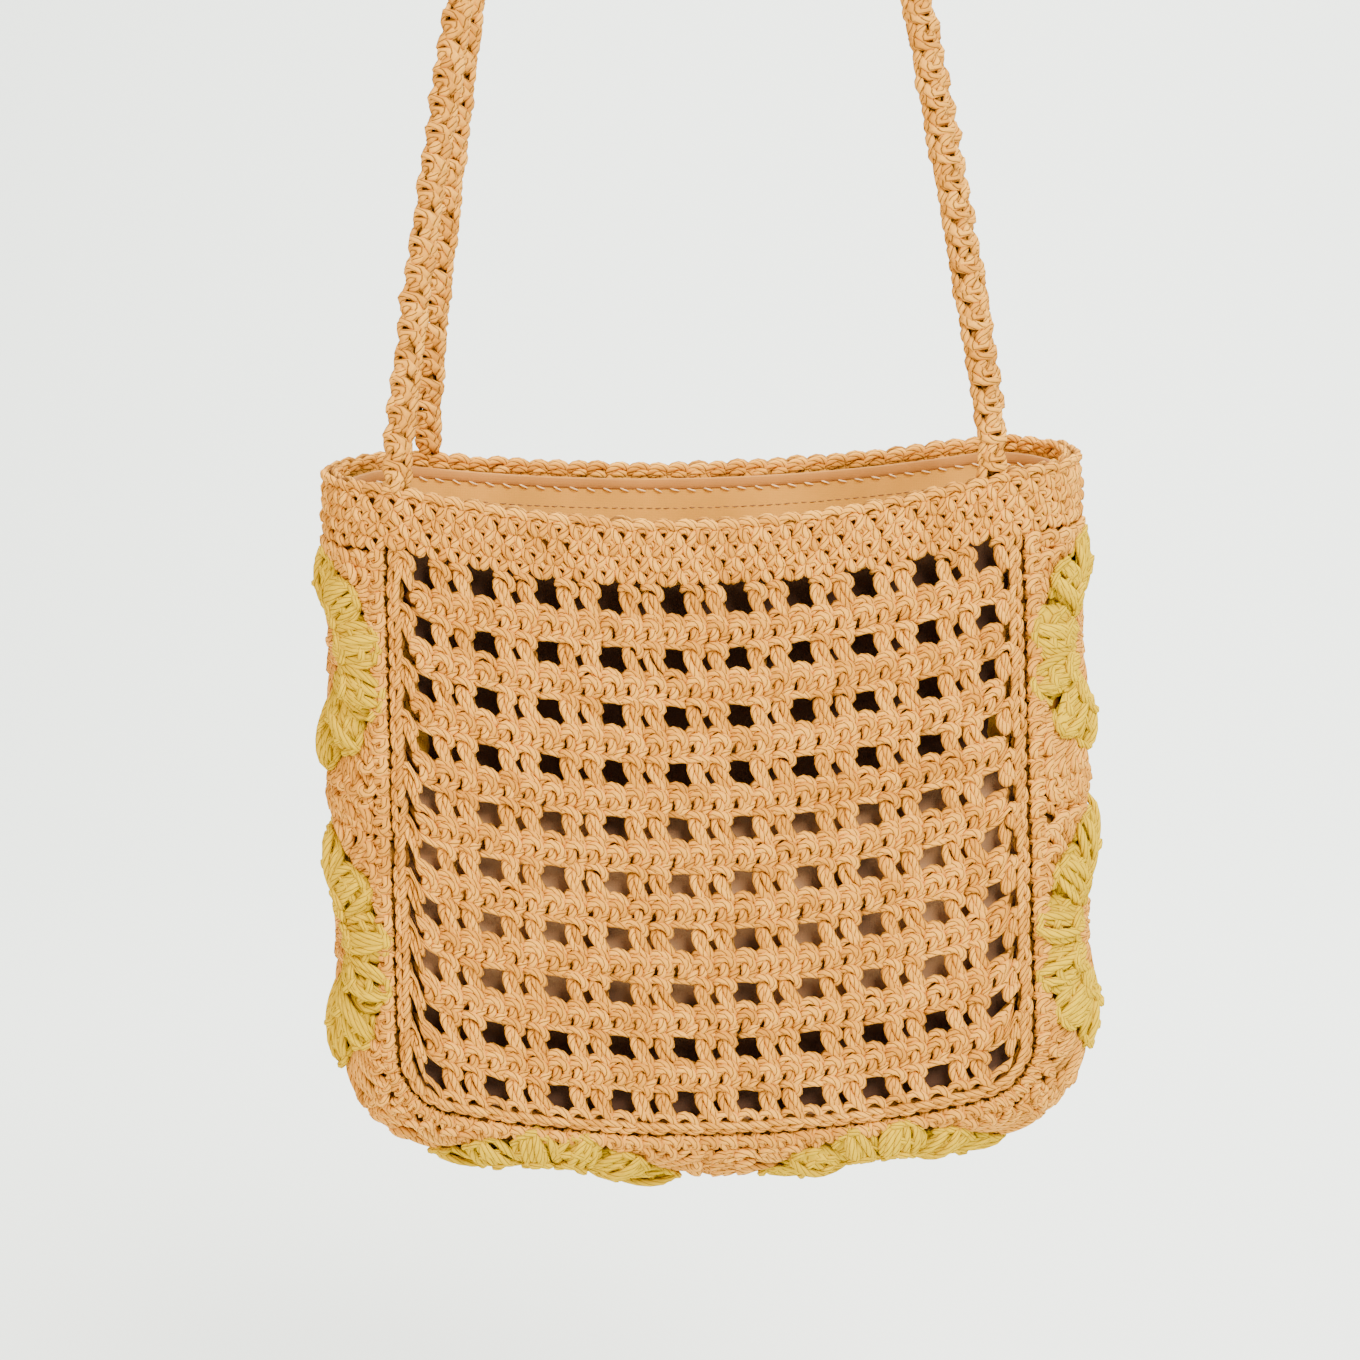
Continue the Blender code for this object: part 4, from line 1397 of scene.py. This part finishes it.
def make_hem():
    steps = 220
    strip = bmesh.new()
    rings = [
        [
            strip.verts.new(inside_lining(lining_path.length * step / steps, edge["inward"], edge["up"]))
            for edge in HEM_SECTION
        ]
        for step in range(steps)
    ]
    for before, after in zip(rings, rings[1:] + rings[:1]):
        for at in range(len(HEM_SECTION)):
            beside = (at + 1) % len(HEM_SECTION)
            strip.faces.new([before[at], before[beside], after[beside], after[at]])
    bmesh.ops.recalc_face_normals(strip, faces=strip.faces)
    mesh = bpy.data.meshes.new("lining_hem")
    strip.to_mesh(mesh)
    strip.free()
    mesh.shade_smooth()
    piece = bpy.data.objects.new("lining_hem", mesh)
    bpy.context.scene.collection.objects.link(piece)
    return piece


def make_thread(name, colour):
    thread = bpy.data.materials.new(name)
    thread.use_nodes = True
    surface = thread.node_tree.nodes["Principled BSDF"]
    surface.inputs["Base Color"].default_value = (*colour, 1)
    surface.inputs["Roughness"].default_value = 0.7
    return thread


hem = make_hem()
# Painted shade: the hem is a darker copy of the lining's weave, standing in for the shade on the folded strip
hem_shade_cloth = lining_cloth.copy()
hem_shade_cloth.name = "hem_weave"
hem_shade_ramp = next(node for node in hem_shade_cloth.node_tree.nodes if node.type == "VALTORGB").color_ramp
hem_shade_ramp.elements[0].color = (0.34, 0.135, 0.020, 1)
hem_shade_ramp.elements[1].color = (0.42, 0.175, 0.030, 1)
hem.data.materials.append(hem_shade_cloth)
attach(hem, "root")


def thread_guide(name, drop, inward):
    """Guide for threads, seen from inside the bag, round the inside of the lining."""
    margin = 0.003

    def place(x, y):
        return inside_lining(-x, inward, -drop + y)

    return guide_sheet(name, (-lining_path.length - margin, -0.002), (margin, 0.002), 0.002, place)


for name, stitch, pitch, drop, inward, colour in (
    ("hem_thread", "hem_stitch", HEM_STITCH_STEP, 0.0036, 0.0013, (0.74, 0.48, 0.22)),
    ("machine_thread", "machine_stitch", MACHINE_STITCH_STEP, MACHINE_STITCH_DROP, 0.0009, (0.20, 0.09, 0.03)),
):
    count = round(lining_path.length / pitch)
    fabric = []
    for number in range(count):
        work(fabric, stitch, -(number + 0.5) * lining_path.length / count, 0)
    thread = crochet(
        name, thread_guide(name + "_guide", drop, inward), fabric, make_thread(name, colour), seed=40, wobble=0.0001
    )
    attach(thread, "root")


# Stage: a plain pale floor under the hanging bag, which curves up far behind it, and soft studio light
# that is warmer from the left.
FLOOR_Z = -0.75
FLOOR_HALF_WIDTH = 6.0
FLOOR_FRONT = -6.0
CURVE_START = 1.4
CURVE_RADIUS = 1.8
WALL_TOP = 3.5
CURVE_STEPS = 24

floor_line = [(FLOOR_FRONT, FLOOR_Z)]
for step in range(CURVE_STEPS + 1):
    turn = math.pi / 2 * step / CURVE_STEPS
    floor_line.append(
        (CURVE_START + CURVE_RADIUS * math.sin(turn), FLOOR_Z + CURVE_RADIUS * (1 - math.cos(turn)))
    )
floor_line.append((CURVE_START + CURVE_RADIUS, WALL_TOP))
floor_shape = bmesh.new()
floor_rows = [
    [floor_shape.verts.new((x, y, z)) for x in (-FLOOR_HALF_WIDTH, FLOOR_HALF_WIDTH)] for y, z in floor_line
]
for near, far in zip(floor_rows, floor_rows[1:]):
    floor_shape.faces.new([near[0], near[1], far[1], far[0]])
floor_mesh = bpy.data.meshes.new("floor")
floor_shape.to_mesh(floor_mesh)
floor_shape.free()
floor_mesh.shade_smooth()
floor = bpy.data.objects.new("floor", floor_mesh)
bpy.context.scene.collection.objects.link(floor)
floor_finish = bpy.data.materials.new("pale_floor")
floor_finish.use_nodes = True
floor_surface = floor_finish.node_tree.nodes["Principled BSDF"]
floor_surface.inputs["Base Color"].default_value = (0.82, 0.84, 0.80, 1)
floor_surface.inputs["Roughness"].default_value = 0.95
floor_surface.inputs["Specular IOR Level"].default_value = 0.1
floor_mesh.materials.append(floor_finish)

LIGHTS = [
    {"name": "key", "spot": (0.8, -1.5, 0.9), "size": 1.0, "power": 102.0, "colour": (1.0, 0.98, 0.96)},
    {"name": "fill", "spot": (-1.3, -1.0, 0.1), "size": 1.2, "power": 26.0, "colour": (1.0, 0.74, 0.40)},
    {"name": "wall_wash", "spot": (0.4, 0.9, 1.6), "size": 2.0, "power": 225.0, "colour": (0.97, 1.0, 0.99)},
]
AIM = {
    "key": Vector((0, 0, -0.42)),
    "fill": Vector((0, 0, -0.42)),
    "wall_wash": Vector((0, 2.6, -0.4)),
}
for lamp in LIGHTS:
    light_data = bpy.data.lights.new(lamp["name"], "AREA")
    light_data.energy = lamp["power"]
    light_data.size = lamp["size"]
    light_data.color = lamp["colour"]
    light = bpy.data.objects.new(lamp["name"], light_data)
    light.location = lamp["spot"]
    light.rotation_euler = (AIM[lamp["name"]] - Vector(lamp["spot"])).to_track_quat("-Z", "Y").to_euler()
    bpy.context.scene.collection.objects.link(light)

world = bpy.data.worlds.new("studio")
world.use_nodes = True
world.node_tree.nodes["Background"].inputs["Color"].default_value = (0.86, 0.90, 0.88, 1)
world.node_tree.nodes["Background"].inputs["Strength"].default_value = 0.92
bpy.context.scene.world = world

for helper in [o for o in bpy.data.objects if o.name.endswith("_guide")] + list(strand_kit.objects):
    bpy.data.objects.remove(helper)
bpy.data.collections.remove(strand_kit)
